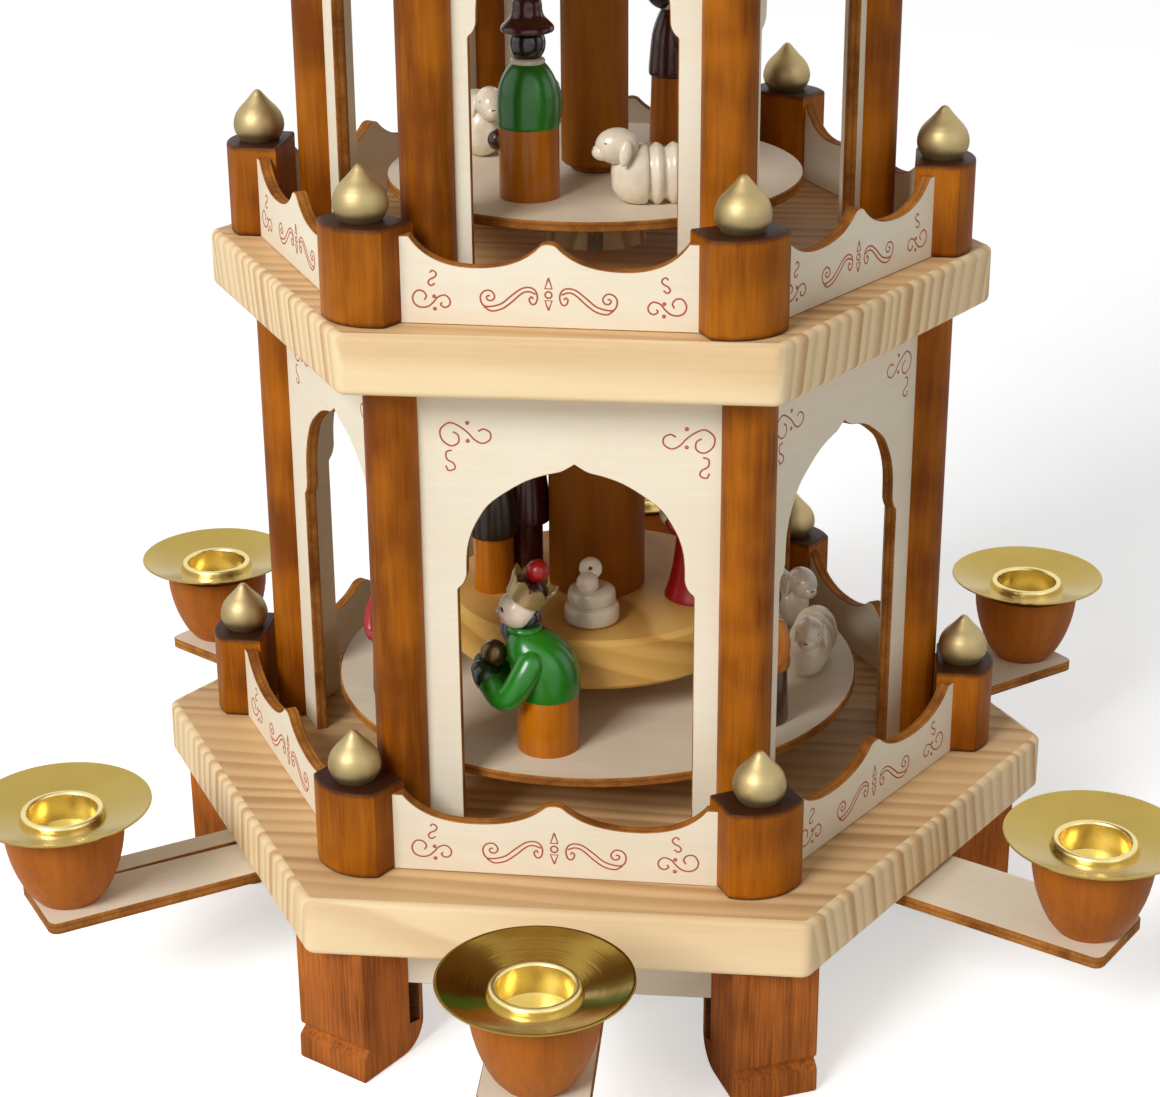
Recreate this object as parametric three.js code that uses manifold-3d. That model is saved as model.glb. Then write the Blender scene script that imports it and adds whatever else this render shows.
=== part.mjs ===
// A six-sided candle-driven Christmas pyramid: three tiers under a roof, and a paddle wheel on a spindle.
// Millimetres, +Z up. The origin is the centre of the surface that the six feet stand on.
// Corners of the plates lie at 0, 60, ... degrees, and the candle arms leave the edges between them.
import * as THREE from "three";
import { mergeVertices } from "three/addons/utils/BufferGeometryUtils.js";
import Module from "manifold-3d";

const wasm = await Module();
wasm.setup();

// Driving dimensions
const SIDES = 6;
const GAP = 0.3; // running clearance between pieces that move on each other
const PLY = 3; // plywood of rails, arches, arms and apron
const LEG_HEIGHT = 36.2;
const LEG_WIDTH = 21;
const LEG_DEPTH = 22.5;
const LEG_RING = 100.5; // from the axis to the middle of a leg
const LEG_SHIFTS = [0, 0, 0, 0, 0, -2.5]; // how far each leg is glued round from its corner
const LEG_TURNS = [0, 0, 0, 0, 0, -6]; // degrees that each leg is glued off square
const LEG_GROOVE_HEIGHT = 8.4;
const LEG_GROOVE_DEPTH = 1.5;
const KERF_RADIUS = 20; // the saw that cut the apron's slot ran on below it
const KERF_DROP = 12;
const KERF_OUT = 7; // the saw's middle, off the leg's side face
const FOOT_FLARE = 1;
const FOOT_ROUND = 8;
const PLATE_FILLET = 5;
const PLATE_EASE = 2;
const APRON_HEIGHT = 16.4;
const BOARD_INSET = 15.9; // from a plate's edge in to the outer face of the rail or apron on it
const ARM_WIDTH = 25;
const ARM_INNER = 50;
const ARM_PIVOT = 60; // where an arm's play turns it
const ARM_CORNER = 2.5;
const ARM_OVERHANG = 9; // from the cup's middle to the arm's end
const ARM_SLIT = 1.6;
const ARM_WITH_SLIT = 3;
const ARM_SLIT_SIDE = 4.7; // how far the slit lies off the arm's middle line
const ARM_SLIT_END = 12; // solid wood left between the slit and the cup's middle
const ARM_PLAY = 5; // how much wider the notch is than the arm, each side
const ARM_SWINGS = [9.6, 0, -4.3, 4.5, 0.7, 0.7]; // degrees, counted round from the edge at 30
const ARM_DRAWS = [0, 0, 0, 0, 0, -2.4]; // how far each arm is drawn out past the common ring
const DISH_RING = 148;
const DISH_RADIUS = 22;
const DISH_RISE = 3.3; // from the dish's middle up to its rim
const SHEET = 0.9; // brass of the dish and socket
const SOCKET_BORE = 8.5; // radius of a 17 mm candle
const SOCKET_DEPTH = 6;
const SOCKET_RISE = 1.7; // from the dish's middle up to the socket's rolled rim
const SOCKET_LIP = 0.9;
const CUP_TOP = 14.8;
const CUP_FOOT = 7.8;
const CUP_HEIGHT = 21.3;
const COLUMN_RADIUS = 6.4;
const PANEL_OFFSET = 1; // an arch's outer face, out from the line between two column axes
const POST_RADIUS = 9.7;
const POST_HEIGHT = 22.8;
const POST_BACK = 5; // flat back, in from the post's middle
const POST_SIDE = 5.7; // where the flat sides end and the bowed front starts
const POST_BOW = 13.8; // radius of the bowed front
const RAIL_END = 20.3;
const RAIL_DIP = 13.5;
const RAIL_PEAK = 19;
const FINIAL_RADIUS = 6.35;
const FINIAL_HEIGHT = 12.6;
const FINIAL_OUT = 1.5; // finial axis, out from the middle of the post's round front
const SHAFT_RADIUS = 2;
const CUP_BEARING_RADIUS = 5;
const CUP_BEARING_HEIGHT = 7;
const CUP_BEARING_SEAT = 1.6;
const CUP_BEARING_SINK = 5;
const BUSH_RADIUS = 6;
const BUSH_STEM = 4;
const BUSH_FLANGE = 2;
const BEARING_WALL = 1.5;
const TABLE_LIFT = 15; // from a plate up to the turntable over it
const TABLE_THICK = 2.5;
const BOSS_RADIUS = 9;
const BOSS_HEIGHT = 8;
const DAIS_RADIUS = 39.5;
const DAIS_THICK = 13.5;
const DAIS_SPACER_RADIUS = 16;
const DAIS_SPACER = 9.5;
const DRUM_SPACER_RADIUS = 6;
const DRUM_SPACER = 1.7;
const DRUM_CLEAR = 8; // from a drum's top to the plate over it
const HUB_RADIUS = 27;
const HUB_HEIGHT = 18;
const HUB_LIFT = 21; // from the roof up to the hub
const SHAFT_PROUD = 3; // how far the spindle stands out over the hub
const BLADES = 8;
const BLADE_TIP = 175;
const BLADE_ROOT = 46;
const BLADE_ROOT_WIDTH = 28;
const BLADE_TIP_WIDTH = 66;
const BLADE_THICK = 2;
const BLADE_CORNER = 6;
const BLADE_PITCH = 25; // degrees from flat
const DOWEL_RADIUS = 2.5;
const DOWEL_INSET = 12; // a dowel's inner end, from the axis
const DOWEL_OVERLAP = 30; // how far a dowel runs along its paddle

// One row per storey, from the bottom. corner is the plate's sharp corner, from the axis.
// arches is how far each opening is cut off its panel's middle, counted round from the edge at 30.
// An arcade is glued on drawn aside by slip and turned by twist degrees, a gallery by skew degrees.
const TIERS = [
  { name: "lower", corner: 119, thick: 15, clear: 120, columns: 82.5, opening: 27.8, spring: 68,
    rise: 32.3, posts: 95.3, rail: 86.8, table: 69, drum: 12.6, hole: 0,
    arches: [0, 0, 0, 2.3, 1.2, -0.2], slip: 1, twist: 0, skew: -1.2 },
  { name: "middle", corner: 99, thick: 14.5, clear: 100, columns: 67.8, opening: 23.2, spring: 61,
    rise: 26.3, posts: 83.8, rail: 77.3, table: 51.7, drum: 8.3, hole: 13,
    arches: [0, 0, 0, 1.8, -0.7, 1.4], slip: 0, twist: 1.9, skew: -2 },
  { name: "upper", corner: 80, thick: 13, clear: 84, columns: 53.7, opening: 17, spring: 51,
    rise: 22, posts: 66.3, rail: 61, table: 38, drum: 6, hole: 11,
    arches: [0, 0, 0, 0, 0, 0], slip: 0, twist: 0, skew: 0 },
];
const ROOF = { corner: 66, thick: 12 };

// Heights worked out from the sizes above
let level = LEG_HEIGHT;
for (const tier of TIERS) {
  tier.bottom = level;
  tier.top = level + tier.thick;
  tier.ceiling = tier.top + tier.clear;
  level = tier.ceiling;
}
ROOF.bottom = level;
ROOF.top = level + ROOF.thick;
const [LOWER, MIDDLE, UPPER] = TIERS;
const APRON_FACE = LOWER.corner * Math.cos(Math.PI / SIDES) - BOARD_INSET;
const ARM_TOP = LEG_HEIGHT - GAP;
const CUP_BASE = ARM_TOP;
const HUB_BOTTOM = ROOF.top + HUB_LIFT;
const HUB_MIDDLE = HUB_BOTTOM + HUB_HEIGHT / 2;
const SHAFT_TOP = HUB_BOTTOM + HUB_HEIGHT + SHAFT_PROUD;

// Shape helpers
const turn = (degrees) => (degrees * Math.PI) / 180;
const edgeAngle = (i) => turn(30 + (360 / SIDES) * i);
const cornerAngle = (i) => turn((360 / SIDES) * i);

function placed(geometry, x = 0, y = 0, z = 0, about = 0) {
  return geometry.rotateZ(about).translate(x, y, z);
}

function solid(geometry) {
  const bare = geometry.index ? geometry.toNonIndexed() : geometry.clone();
  bare.deleteAttribute("normal");
  bare.deleteAttribute("uv");
  const merged = mergeVertices(bare, 1e-4);
  return new wasm.Manifold(
    new wasm.Mesh({
      numProp: 3,
      vertProperties: new Float32Array(merged.attributes.position.array),
      triVerts: new Uint32Array(merged.index.array),
    }),
  );
}

function shell(manifold) {
  const mesh = manifold.getMesh();
  const geometry = new THREE.BufferGeometry();
  geometry.setAttribute("position", new THREE.BufferAttribute(mesh.vertProperties, mesh.numProp));
  geometry.setIndex(new THREE.BufferAttribute(mesh.triVerts, 1));
  geometry.computeVertexNormals();
  return geometry;
}

function join(geometries) {
  return shell(geometries.map(solid).reduce((all, piece) => all.add(piece)));
}

function cut(geometry, tools) {
  return shell(tools.map(solid).reduce((rest, tool) => rest.subtract(tool), solid(geometry)));
}

function keepInside(geometry, other) {
  return shell(solid(geometry).intersect(solid(other)));
}

function outline(points) {
  return new THREE.Shape(points.map(([x, y]) => new THREE.Vector2(x, y)));
}

// A flat board: the outline lies in XY and its lower face at z.
function board(shape, thick, z, ease = 0, curveSegments = 2) {
  const geometry = new THREE.ExtrudeGeometry(shape, {
    depth: thick - 2 * ease,
    bevelEnabled: ease > 0,
    bevelThickness: ease,
    bevelSize: ease,
    bevelOffset: -ease,
    bevelSegments: 1,
    curveSegments,
  });
  return geometry.translate(0, 0, z + ease);
}

// A standing board: the outline is (along, height), and its outer face lies at the given distance.
function standing(shape, thick, face, z, curveSegments = 2) {
  const geometry = new THREE.ExtrudeGeometry(shape, { depth: thick, bevelEnabled: false, curveSegments });
  geometry.rotateX(Math.PI / 2).rotateZ(Math.PI / 2);
  return geometry.translate(face - thick, 0, z);
}

function turned(points, segments) {
  const profile = points.map(([r, z]) => new THREE.Vector2(r, z));
  return new THREE.LatheGeometry(profile, segments).rotateX(Math.PI / 2);
}

function rod(radius, from, to, segments) {
  return turned([[0, from], [radius, from], [radius, to], [0, to]], segments);
}

function hexagon(corner, fillet) {
  const shape = new THREE.Shape();
  const inset = fillet / Math.cos(Math.PI / SIDES);
  for (let i = 0; i < SIDES; i++) {
    const a = cornerAngle(i);
    const reach = corner - inset;
    const half = Math.PI / SIDES;
    shape.absarc(reach * Math.cos(a), reach * Math.sin(a), fillet, a - half, a + half);
  }
  return shape;
}

function ball(radius, x, y, z, segments = 12) {
  return new THREE.SphereGeometry(radius, segments, Math.round(segments / 2) + 1)
    .rotateX(Math.PI / 2)
    .translate(x, y, z);
}

// Plates
function plate(tier) {
  const slab = board(hexagon(tier.corner, PLATE_FILLET), tier.thick, tier.bottom, PLATE_EASE);
  if (!tier.hole) return slab;
  return cut(slab, [rod(tier.hole, tier.bottom - 1, tier.top + 1, 24)]);
}

function basePlate() {
  const seat = rod(CUP_BEARING_RADIUS + GAP / 2, LOWER.top - CUP_BEARING_SINK, LOWER.top + 1, 20);
  return cut(plate(LOWER), [seat]);
}

function roofPlate() {
  const bore = rod(BUSH_STEM + GAP / 2, ROOF.bottom - 1, ROOF.top + 1, 20);
  return cut(plate(ROOF), [bore]);
}

// Legs and apron
function hexagonBoard(face, thick, z) {
  const shape = hexagon(face / Math.cos(Math.PI / SIDES), 0.01);
  return board(shape, thick, z, 0, 1);
}

function apronRing(clearance) {
  const outer = hexagonBoard(APRON_FACE + clearance, APRON_HEIGHT + clearance, 0);
  const inner = hexagonBoard(APRON_FACE - PLY - clearance, APRON_HEIGHT + 3, -1);
  return cut(outer, [inner]).translate(0, 0, LEG_HEIGHT - APRON_HEIGHT - clearance);
}

// The saw's run-out below the apron, in the leg at 0 degrees, on one of its side faces
function sawCut(side) {
  const middle = APRON_FACE - PLY / 2;
  const corner = middle * Math.tan(Math.PI / SIDES);
  const along = corner - LEG_WIDTH / 2 / Math.cos(Math.PI / SIDES) - KERF_OUT;
  const low = LEG_HEIGHT - APRON_HEIGHT - KERF_DROP;
  const z = low + Math.sqrt(KERF_RADIUS ** 2 - KERF_OUT ** 2);
  const saw = rod(KERF_RADIUS, -PLY / 2 - GAP / 2, PLY / 2 + GAP / 2, 28);
  saw.rotateY(Math.PI / 2).translate(middle, -side * along, z);
  return saw.rotateZ((side * Math.PI) / SIDES);
}

function leg(i) {
  const outer = LEG_RING + LEG_DEPTH / 2;
  const inner = LEG_RING - LEG_DEPTH / 2;
  const shape = outline([
    [outer, LEG_HEIGHT],
    [outer, LEG_GROOVE_HEIGHT + LEG_GROOVE_DEPTH],
    [outer - LEG_GROOVE_DEPTH, LEG_GROOVE_HEIGHT],
    [outer + FOOT_FLARE * 0.7, LEG_GROOVE_HEIGHT - LEG_GROOVE_DEPTH],
    [outer + FOOT_FLARE, 0],
    [inner + FOOT_ROUND, 0],
  ]);
  shape.absarc(inner + FOOT_ROUND, FOOT_ROUND, FOOT_ROUND, -Math.PI / 2, -Math.PI, true);
  shape.lineTo(inner, LEG_HEIGHT);
  const block = new THREE.ExtrudeGeometry(shape, {
    depth: LEG_WIDTH,
    bevelEnabled: false,
    curveSegments: 3,
  });
  block.rotateX(Math.PI / 2).translate(-LEG_RING, LEG_WIDTH / 2, 0).rotateZ(turn(LEG_TURNS[i]));
  block.translate(LEG_RING, LEG_SHIFTS[i], 0).rotateZ(cornerAngle(i));
  const slot = apronRing(GAP / 2);
  const saws = [-1, 1].map((side) => sawCut(side).rotateZ(cornerAngle(i)));
  return cut(block, [slot, slot.clone().translate(0, 0, 2 * GAP), ...saws]);
}

function apron() {
  const guideTop = ARM_TOP - PLY - GAP;
  const guide = keepInside(
    hexagonBoard(APRON_FACE - PLY + 0.5, PLY, guideTop - PLY),
    rod(LEG_RING - LEG_DEPTH / 2 - GAP, guideTop - 2 * PLY, guideTop + PLY, 36),
  );
  const window = rod(ARM_INNER - 10, guideTop - 2 * PLY, guideTop + PLY, 18);
  const notches = [];
  for (let i = 0; i < SIDES; i++) {
    const width = ARM_WIDTH + 2 * ARM_PLAY;
    const notch = new THREE.BoxGeometry(3 * PLY, width, 2 * PLY);
    notches.push(placed(notch.translate(APRON_FACE - PLY, 0, guideTop + PLY), 0, 0, 0, edgeAngle(i)));
  }
  return cut(join([apronRing(0), guide]), [window, ...notches]);
}

// Candle arms, drawn along +X
function arm(i) {
  const tip = DISH_RING + ARM_OVERHANG;
  const half = ARM_WIDTH / 2;
  const slitEnd = DISH_RING - ARM_SLIT_END;
  const shape = new THREE.Shape();
  shape.moveTo(ARM_INNER, -half);
  shape.lineTo(tip - ARM_CORNER, -half);
  shape.absarc(tip - ARM_CORNER, -half + ARM_CORNER, ARM_CORNER, -Math.PI / 2, 0);
  shape.absarc(tip - ARM_CORNER, half - ARM_CORNER, ARM_CORNER, 0, Math.PI / 2);
  shape.lineTo(ARM_INNER, half);
  if (i === ARM_WITH_SLIT) {
    shape.lineTo(ARM_INNER, -ARM_SLIT_SIDE + ARM_SLIT);
    shape.lineTo(slitEnd, -ARM_SLIT_SIDE);
    shape.lineTo(ARM_INNER, -ARM_SLIT_SIDE - ARM_SLIT / 2);
  }
  return board(shape, PLY, ARM_TOP - PLY, 0, 4);
}

function cup() {
  const bore = SOCKET_BORE + SHEET + GAP;
  const floor = CUP_HEIGHT - SOCKET_DEPTH;
  const profile = [
    [0, 0],
    [CUP_FOOT, 0],
    [0.69 * CUP_TOP, 0.15 * CUP_HEIGHT],
    [0.83 * CUP_TOP, 0.35 * CUP_HEIGHT],
    [0.94 * CUP_TOP, 0.6 * CUP_HEIGHT],
    [CUP_TOP, CUP_HEIGHT],
    [bore, CUP_HEIGHT],
    [bore, floor],
    [0, floor],
  ];
  return turned(profile, 16).translate(DISH_RING, 0, CUP_BASE);
}

function dish() {
  const z = CUP_HEIGHT + GAP + SHEET;
  const wall = SOCKET_BORE + SHEET;
  const rolled = z + SOCKET_RISE;
  const profile = [
    [0, z - SOCKET_DEPTH],
    [SOCKET_BORE, z - SOCKET_DEPTH],
    [SOCKET_BORE, rolled - SHEET / 2],
    [wall, rolled],
    [wall + SOCKET_LIP, rolled - SHEET],
    [wall + SOCKET_LIP, z + 0.06 * DISH_RISE],
    [DISH_RADIUS - 4, z + 0.68 * DISH_RISE],
    [DISH_RADIUS - SHEET / 2, z + DISH_RISE],
    [DISH_RADIUS, z + DISH_RISE - SHEET / 2],
    [DISH_RADIUS - 4 + SHEET / 2, z + 0.68 * DISH_RISE - SHEET],
    [wall, z - SHEET],
    [wall, z - SOCKET_DEPTH - SHEET],
    [0, z - SOCKET_DEPTH - SHEET],
  ];
  return turned(profile.reverse(), 16).translate(DISH_RING, 0, CUP_BASE);
}

// Arcade: columns with an ogee-arched panel between each pair
const NECK = 0.912; // half width just over the cusps, as a share of the opening's

function archShape(tier, middle) {
  const half = tier.columns / 2 - 1.8;
  const open = tier.opening;
  const point = (along, height) => [middle + along * open, tier.spring + height * tier.rise];
  const shape = new THREE.Shape();
  shape.moveTo(-half, 0);
  shape.lineTo(middle - open, 0);
  shape.lineTo(middle - open, tier.spring);
  shape.quadraticCurveTo(...point(-0.91, 0.03), ...point(-NECK, 0.16));
  shape.quadraticCurveTo(...point(-0.88, 0.76), ...point(-0.33, 0.865));
  shape.quadraticCurveTo(...point(-0.11, 0.9), ...point(0, 1));
  shape.quadraticCurveTo(...point(0.11, 0.9), ...point(0.33, 0.865));
  shape.quadraticCurveTo(...point(0.88, 0.76), ...point(NECK, 0.16));
  shape.quadraticCurveTo(...point(0.91, 0.03), ...point(1, 0));
  shape.lineTo(middle + open, 0);
  shape.lineTo(half, 0);
  shape.lineTo(half, tier.clear);
  shape.lineTo(-half, tier.clear);
  return shape;
}

function arcade(tier) {
  const face = tier.columns * Math.cos(Math.PI / SIDES) + PANEL_OFFSET;
  const pieces = [];
  for (let i = 0; i < SIDES; i++) {
    const a = cornerAngle(i);
    const column = rod(COLUMN_RADIUS, tier.top, tier.ceiling, 10);
    pieces.push(placed(column, tier.columns * Math.cos(a), tier.columns * Math.sin(a)));
    const panel = standing(archShape(tier, tier.arches[i]), PLY, face, tier.top, 3);
    pieces.push(placed(panel, 0, 0, 0, edgeAngle(i)));
  }
  return join(pieces).rotateZ(turn(tier.twist)).translate(tier.slip, 0, 0);
}

// Gallery: bow-fronted posts with onion finials, and scalloped rails between them
function railShape(tier) {
  const half = tier.rail * Math.tan(Math.PI / SIDES) - 4;
  const span = half - 7;
  const shape = new THREE.Shape();
  shape.moveTo(-half, 0);
  shape.lineTo(half, 0);
  shape.lineTo(half, RAIL_END);
  shape.lineTo(0.93 * span, RAIL_END);
  shape.quadraticCurveTo(0.8 * span, RAIL_DIP, 0.5 * span, RAIL_DIP);
  shape.quadraticCurveTo(0.2 * span, RAIL_DIP, 0.06 * span, RAIL_PEAK);
  shape.lineTo(-0.06 * span, RAIL_PEAK);
  shape.quadraticCurveTo(-0.2 * span, RAIL_DIP, -0.5 * span, RAIL_DIP);
  shape.quadraticCurveTo(-0.8 * span, RAIL_DIP, -0.93 * span, RAIL_END);
  shape.lineTo(-half, RAIL_END);
  return shape;
}

function postShape(tier) {
  const shape = new THREE.Shape();
  const bow = Math.asin(POST_RADIUS / POST_BOW);
  const middle = tier.posts + POST_SIDE - POST_BOW * Math.cos(bow);
  shape.moveTo(tier.posts - POST_BACK, -POST_RADIUS);
  shape.lineTo(tier.posts + POST_SIDE, -POST_RADIUS);
  shape.absarc(middle, 0, POST_BOW, -bow, bow);
  shape.lineTo(tier.posts - POST_BACK, POST_RADIUS);
  return shape;
}

function finial() {
  return turned(
    [
      [0, -0.5],
      [FINIAL_RADIUS * 0.75, -0.5],
      [FINIAL_RADIUS, 3.4],
      [FINIAL_RADIUS * 0.88, 0.52 * FINIAL_HEIGHT],
      [FINIAL_RADIUS * 0.38, 0.82 * FINIAL_HEIGHT],
      [0, FINIAL_HEIGHT],
    ],
    8,
  );
}

function gallery(tier) {
  const pieces = [];
  for (let i = 0; i < SIDES; i++) {
    const a = cornerAngle(i);
    const reach = tier.posts + FINIAL_OUT;
    pieces.push(placed(board(postShape(tier), POST_HEIGHT, tier.top, 0, 3), 0, 0, 0, a));
    const top = placed(finial(), reach * Math.cos(a), reach * Math.sin(a), tier.top + POST_HEIGHT);
    pieces.push(top);
    pieces.push(placed(standing(railShape(tier), PLY, tier.rail, tier.top), 0, 0, 0, edgeAngle(i)));
  }
  return join(pieces).rotateZ(turn(tier.skew));
}

// Spindle and bearings
function bearingCup() {
  const z = LOWER.top - CUP_BEARING_SINK;
  const top = z + CUP_BEARING_HEIGHT;
  const profile = [
    [0, z],
    [CUP_BEARING_RADIUS, z],
    [CUP_BEARING_RADIUS, top],
    [CUP_BEARING_RADIUS - BEARING_WALL, top],
    [0, z + CUP_BEARING_SEAT],
  ];
  return turned(profile, 16);
}

function topBush() {
  const bore = SHAFT_RADIUS + GAP;
  const profile = [
    [bore, ROOF.bottom],
    [BUSH_STEM, ROOF.bottom],
    [BUSH_STEM, ROOF.top],
    [BUSH_RADIUS, ROOF.top],
    [BUSH_RADIUS, ROOF.top + BUSH_FLANGE],
    [bore, ROOF.top + BUSH_FLANGE],
    [bore, ROOF.bottom],
  ];
  return turned(profile, 16);
}

function shaft() {
  const tip = LOWER.top - CUP_BEARING_SINK + CUP_BEARING_SEAT + GAP;
  const slope = (CUP_BEARING_HEIGHT - CUP_BEARING_SEAT) / (CUP_BEARING_RADIUS - BEARING_WALL);
  const profile = [
    [0, tip],
    [SHAFT_RADIUS, tip + SHAFT_RADIUS * slope],
    [SHAFT_RADIUS, SHAFT_TOP],
    [0, SHAFT_TOP],
  ];
  return turned(profile, 12);
}

// A ring that slides over the shaft
function collar(radius, from, to, segments) {
  const bore = SHAFT_RADIUS + GAP;
  return turned([[bore, from], [radius, from], [radius, to], [bore, to], [bore, from]], segments);
}

function tableZ(tier) {
  return tier.top + TABLE_LIFT;
}

function turntable(tier, extras) {
  const z = tableZ(tier);
  const disc = collar(tier.table, z, z + TABLE_THICK, 36);
  const boss = collar(BOSS_RADIUS, z - BOSS_HEIGHT, z + TABLE_THICK / 2, 10);
  const wide = tier === LOWER;
  const height = wide ? DAIS_SPACER : DRUM_SPACER;
  const above = collar(
    wide ? DAIS_SPACER_RADIUS : DRUM_SPACER_RADIUS,
    z + TABLE_THICK / 2,
    z + TABLE_THICK + height,
    10,
  );
  return join([disc, boss, above, ...extras]);
}

const DAIS_BOTTOM = tableZ(LOWER) + TABLE_THICK + DAIS_SPACER;
const DAIS_TOP = DAIS_BOTTOM + DAIS_THICK;

function dais() {
  return collar(DAIS_RADIUS, DAIS_BOTTOM, DAIS_TOP, 36);
}

function drum(tier) {
  const from = tier === LOWER ? DAIS_TOP : tableZ(tier) + TABLE_THICK + DRUM_SPACER;
  return collar(tier.drum, from, tier.ceiling - DRUM_CLEAR, 16);
}

// Paddle wheel
function hub() {
  const body = collar(HUB_RADIUS, HUB_BOTTOM, HUB_BOTTOM + HUB_HEIGHT, 24);
  const bores = [];
  for (let i = 0; i < BLADES; i++) {
    const bore = rod(DOWEL_RADIUS + 1.7 * GAP, DOWEL_INSET - GAP, HUB_RADIUS + 5, 8);
    bore.rotateY(Math.PI / 2).translate(0, 0, HUB_MIDDLE);
    bores.push(bore.rotateZ(turn((360 / BLADES) * i)));
  }
  return cut(body, bores);
}

function blade() {
  const root = BLADE_ROOT_WIDTH / 2;
  const tip = BLADE_TIP_WIDTH / 2;
  const edge = BLADE_TIP - BLADE_CORNER;
  const shape = new THREE.Shape();
  shape.moveTo(BLADE_ROOT, -root);
  shape.lineTo(edge - 4, -tip);
  shape.quadraticCurveTo(edge, -tip, edge + 2, -tip + BLADE_CORNER);
  shape.quadraticCurveTo(BLADE_TIP, 0, edge + 2, tip - BLADE_CORNER);
  shape.quadraticCurveTo(edge, tip, edge - 4, tip);
  shape.lineTo(BLADE_ROOT, root);
  const paddle = board(shape, BLADE_THICK, -BLADE_THICK / 2, 0, 4);
  const dowel = rod(DOWEL_RADIUS, DOWEL_INSET, BLADE_ROOT + DOWEL_OVERLAP, 8);
  return join([paddle.rotateX(turn(BLADE_PITCH)), dowel.rotateY(Math.PI / 2)]);
}

// Figures. Each stands at its own foot, then moves to its place on a turntable or the dais.
function bent(geometry, from, rate) {
  const place = geometry.attributes.position;
  for (let i = 0; i < place.count; i++) {
    const rise = Math.max(0, place.getZ(i) - from);
    place.setX(i, place.getX(i) - rate * rise ** 2);
  }
  return geometry;
}

function king() {
  const skirt = rod(7.75, 0, 15.5, 12);
  const coat = turned([[0, 14.6], [8, 15.2], [8.5, 20], [8.5, 24], [6.9, 29.3], [3.7, 33.6], [0, 35]], 12);
  const head = ball(4.7, -7.4, 0, 38, 8);
  const hair = ball(4.4, -6, 0, 36.6, 8);
  const crown = turned([[0, -2.4], [4.6, -2.4], [5.2, 0], [7.3, 4.1], [5, 0.4], [0, 0.4]], 10);
  crown.rotateY(turn(30)).translate(-4.5, 0, 41.7);
  const bauble = ball(2.9, -2.1, 0, 47.2, 8);
  const cap = ball(4, -4.2, 0, 43.2, 6);
  const sleeves = [-1, 1].flatMap((side) => [
    ball(3.3, -5.5, side * 7, 20.5, 6),
    ball(3.3, -9, side * 7.2, 17.2, 6),
    ball(3.2, -12.4, side * 5, 18.6, 6),
  ]);
  const hands = ball(3.4, -14.4, 0, 20.6, 6).scale(1, 1.3, 1);
  const gift = ball(3.4, -13.3, 0, 24.8, 8);
  return join([skirt, bent(coat, 15.3, 0.0167), head, hair, crown, cap, bauble, ...sleeves, hands, gift]);
}

function crib() {
  const lower = turned([[0, 0], [6, 0], [7.1, 1.6], [7.1, 3.8], [6, 5.4], [0, 5.4]], 12);
  const upper = turned([[0, 5], [5.4, 5], [6.1, 6.3], [6.1, 8], [5, 9.5], [0, 9.5]], 12);
  const infant = ball(2.9, -0.8, -2.4, 11.4, 8);
  const halo = turned([[1.4, 0], [2.9, 0], [2.9, 1], [1.4, 1], [1.4, 0]], 10);
  halo.rotateX(turn(70)).translate(-0.2, -0.6, 14.6);
  return join([lower, upper, infant, halo]);
}

function robed(height, foot, lean) {
  const robe = turned(
    [[0, 0], [foot, 0], [foot * 0.92, height * 0.4], [foot * 0.62, height * 0.72], [0, height * 0.78]],
    8,
  );
  const head = ball(height * 0.115, lean, 0, height * 0.84, 6);
  const sleeves = [-1, 1].map((side) => ball(foot * 0.5, lean, side * foot * 0.9, height * 0.56, 6));
  return join([robe, head, ...sleeves]);
}

// A gown that flares out at its foot
function gowned() {
  const robe = turned([[0, 0], [8.6, 0], [7.4, 4], [6.2, 10], [5.4, 18], [4.2, 30], [0, 33]], 10);
  const head = ball(4.8, -1, 0, 35.4, 6);
  const sleeves = [-1, 1].map((side) => ball(3, -1.5, side * 4.4, 23.6, 6));
  return join([robe, head, ...sleeves]);
}

// Two cloaked figures that stand close together
function cloakedPair() {
  const pieces = [];
  for (const [x, y, foot, height] of [[0, 0, 5.3, 33.5], [7.8, 6.3, 4.5, 37]]) {
    const hem = height * 0.47;
    pieces.push(rod(foot, 0, hem + 1, 10).translate(x, y, 0));
    const coat = turned([[0, hem], [6.4, hem], [6.3, hem + 7], [4.4, height - 4], [0, height - 3]], 10);
    pieces.push(coat.translate(x, y, 0), ball(4.3, x, y, height, 6));
  }
  return join(pieces);
}

function shepherd() {
  const skirt = rod(7.2, 0, 18, 12);
  const coat = turned([[0, 17], [7.3, 17.4], [7.4, 23], [6.5, 28], [4.2, 31.6], [0, 33]], 12);
  const head = ball(4.4, 0, 0, 36.4, 8);
  const hat = turned([[0, 39], [5, 39.4], [6, 40.6], [5.8, 42], [3.7, 43.4], [3.5, 46], [0, 48.4]], 10);
  const hand = ball(2.7, -7.3, 0, 13.5, 8);
  return join([skirt, coat, head, hat, hand]);
}

function sheep() {
  const profile = [[0, 0], [3.4, 0.4], [5.8, 2.4], [7, 5], [7.2, 8], [6.2, 8.7]];
  for (let i = 0; i < 3; i++) profile.push([7.3, 10.2 + 4 * i], [7.1, 11.8 + 4 * i], [6.1, 12.6 + 4 * i]);
  profile.push([4.6, 22.4], [0, 23.2]);
  const body = turned(profile, 10).rotateY(Math.PI / 2).scale(1, 0.8, 1).translate(-6.4, 0, 6.95);
  const head = ball(4.5, 0, 0, 0, 8).scale(1.15, 0.84, 0.95).translate(-5.2, -1.6, 14.2);
  return join([body, head]);
}

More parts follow.
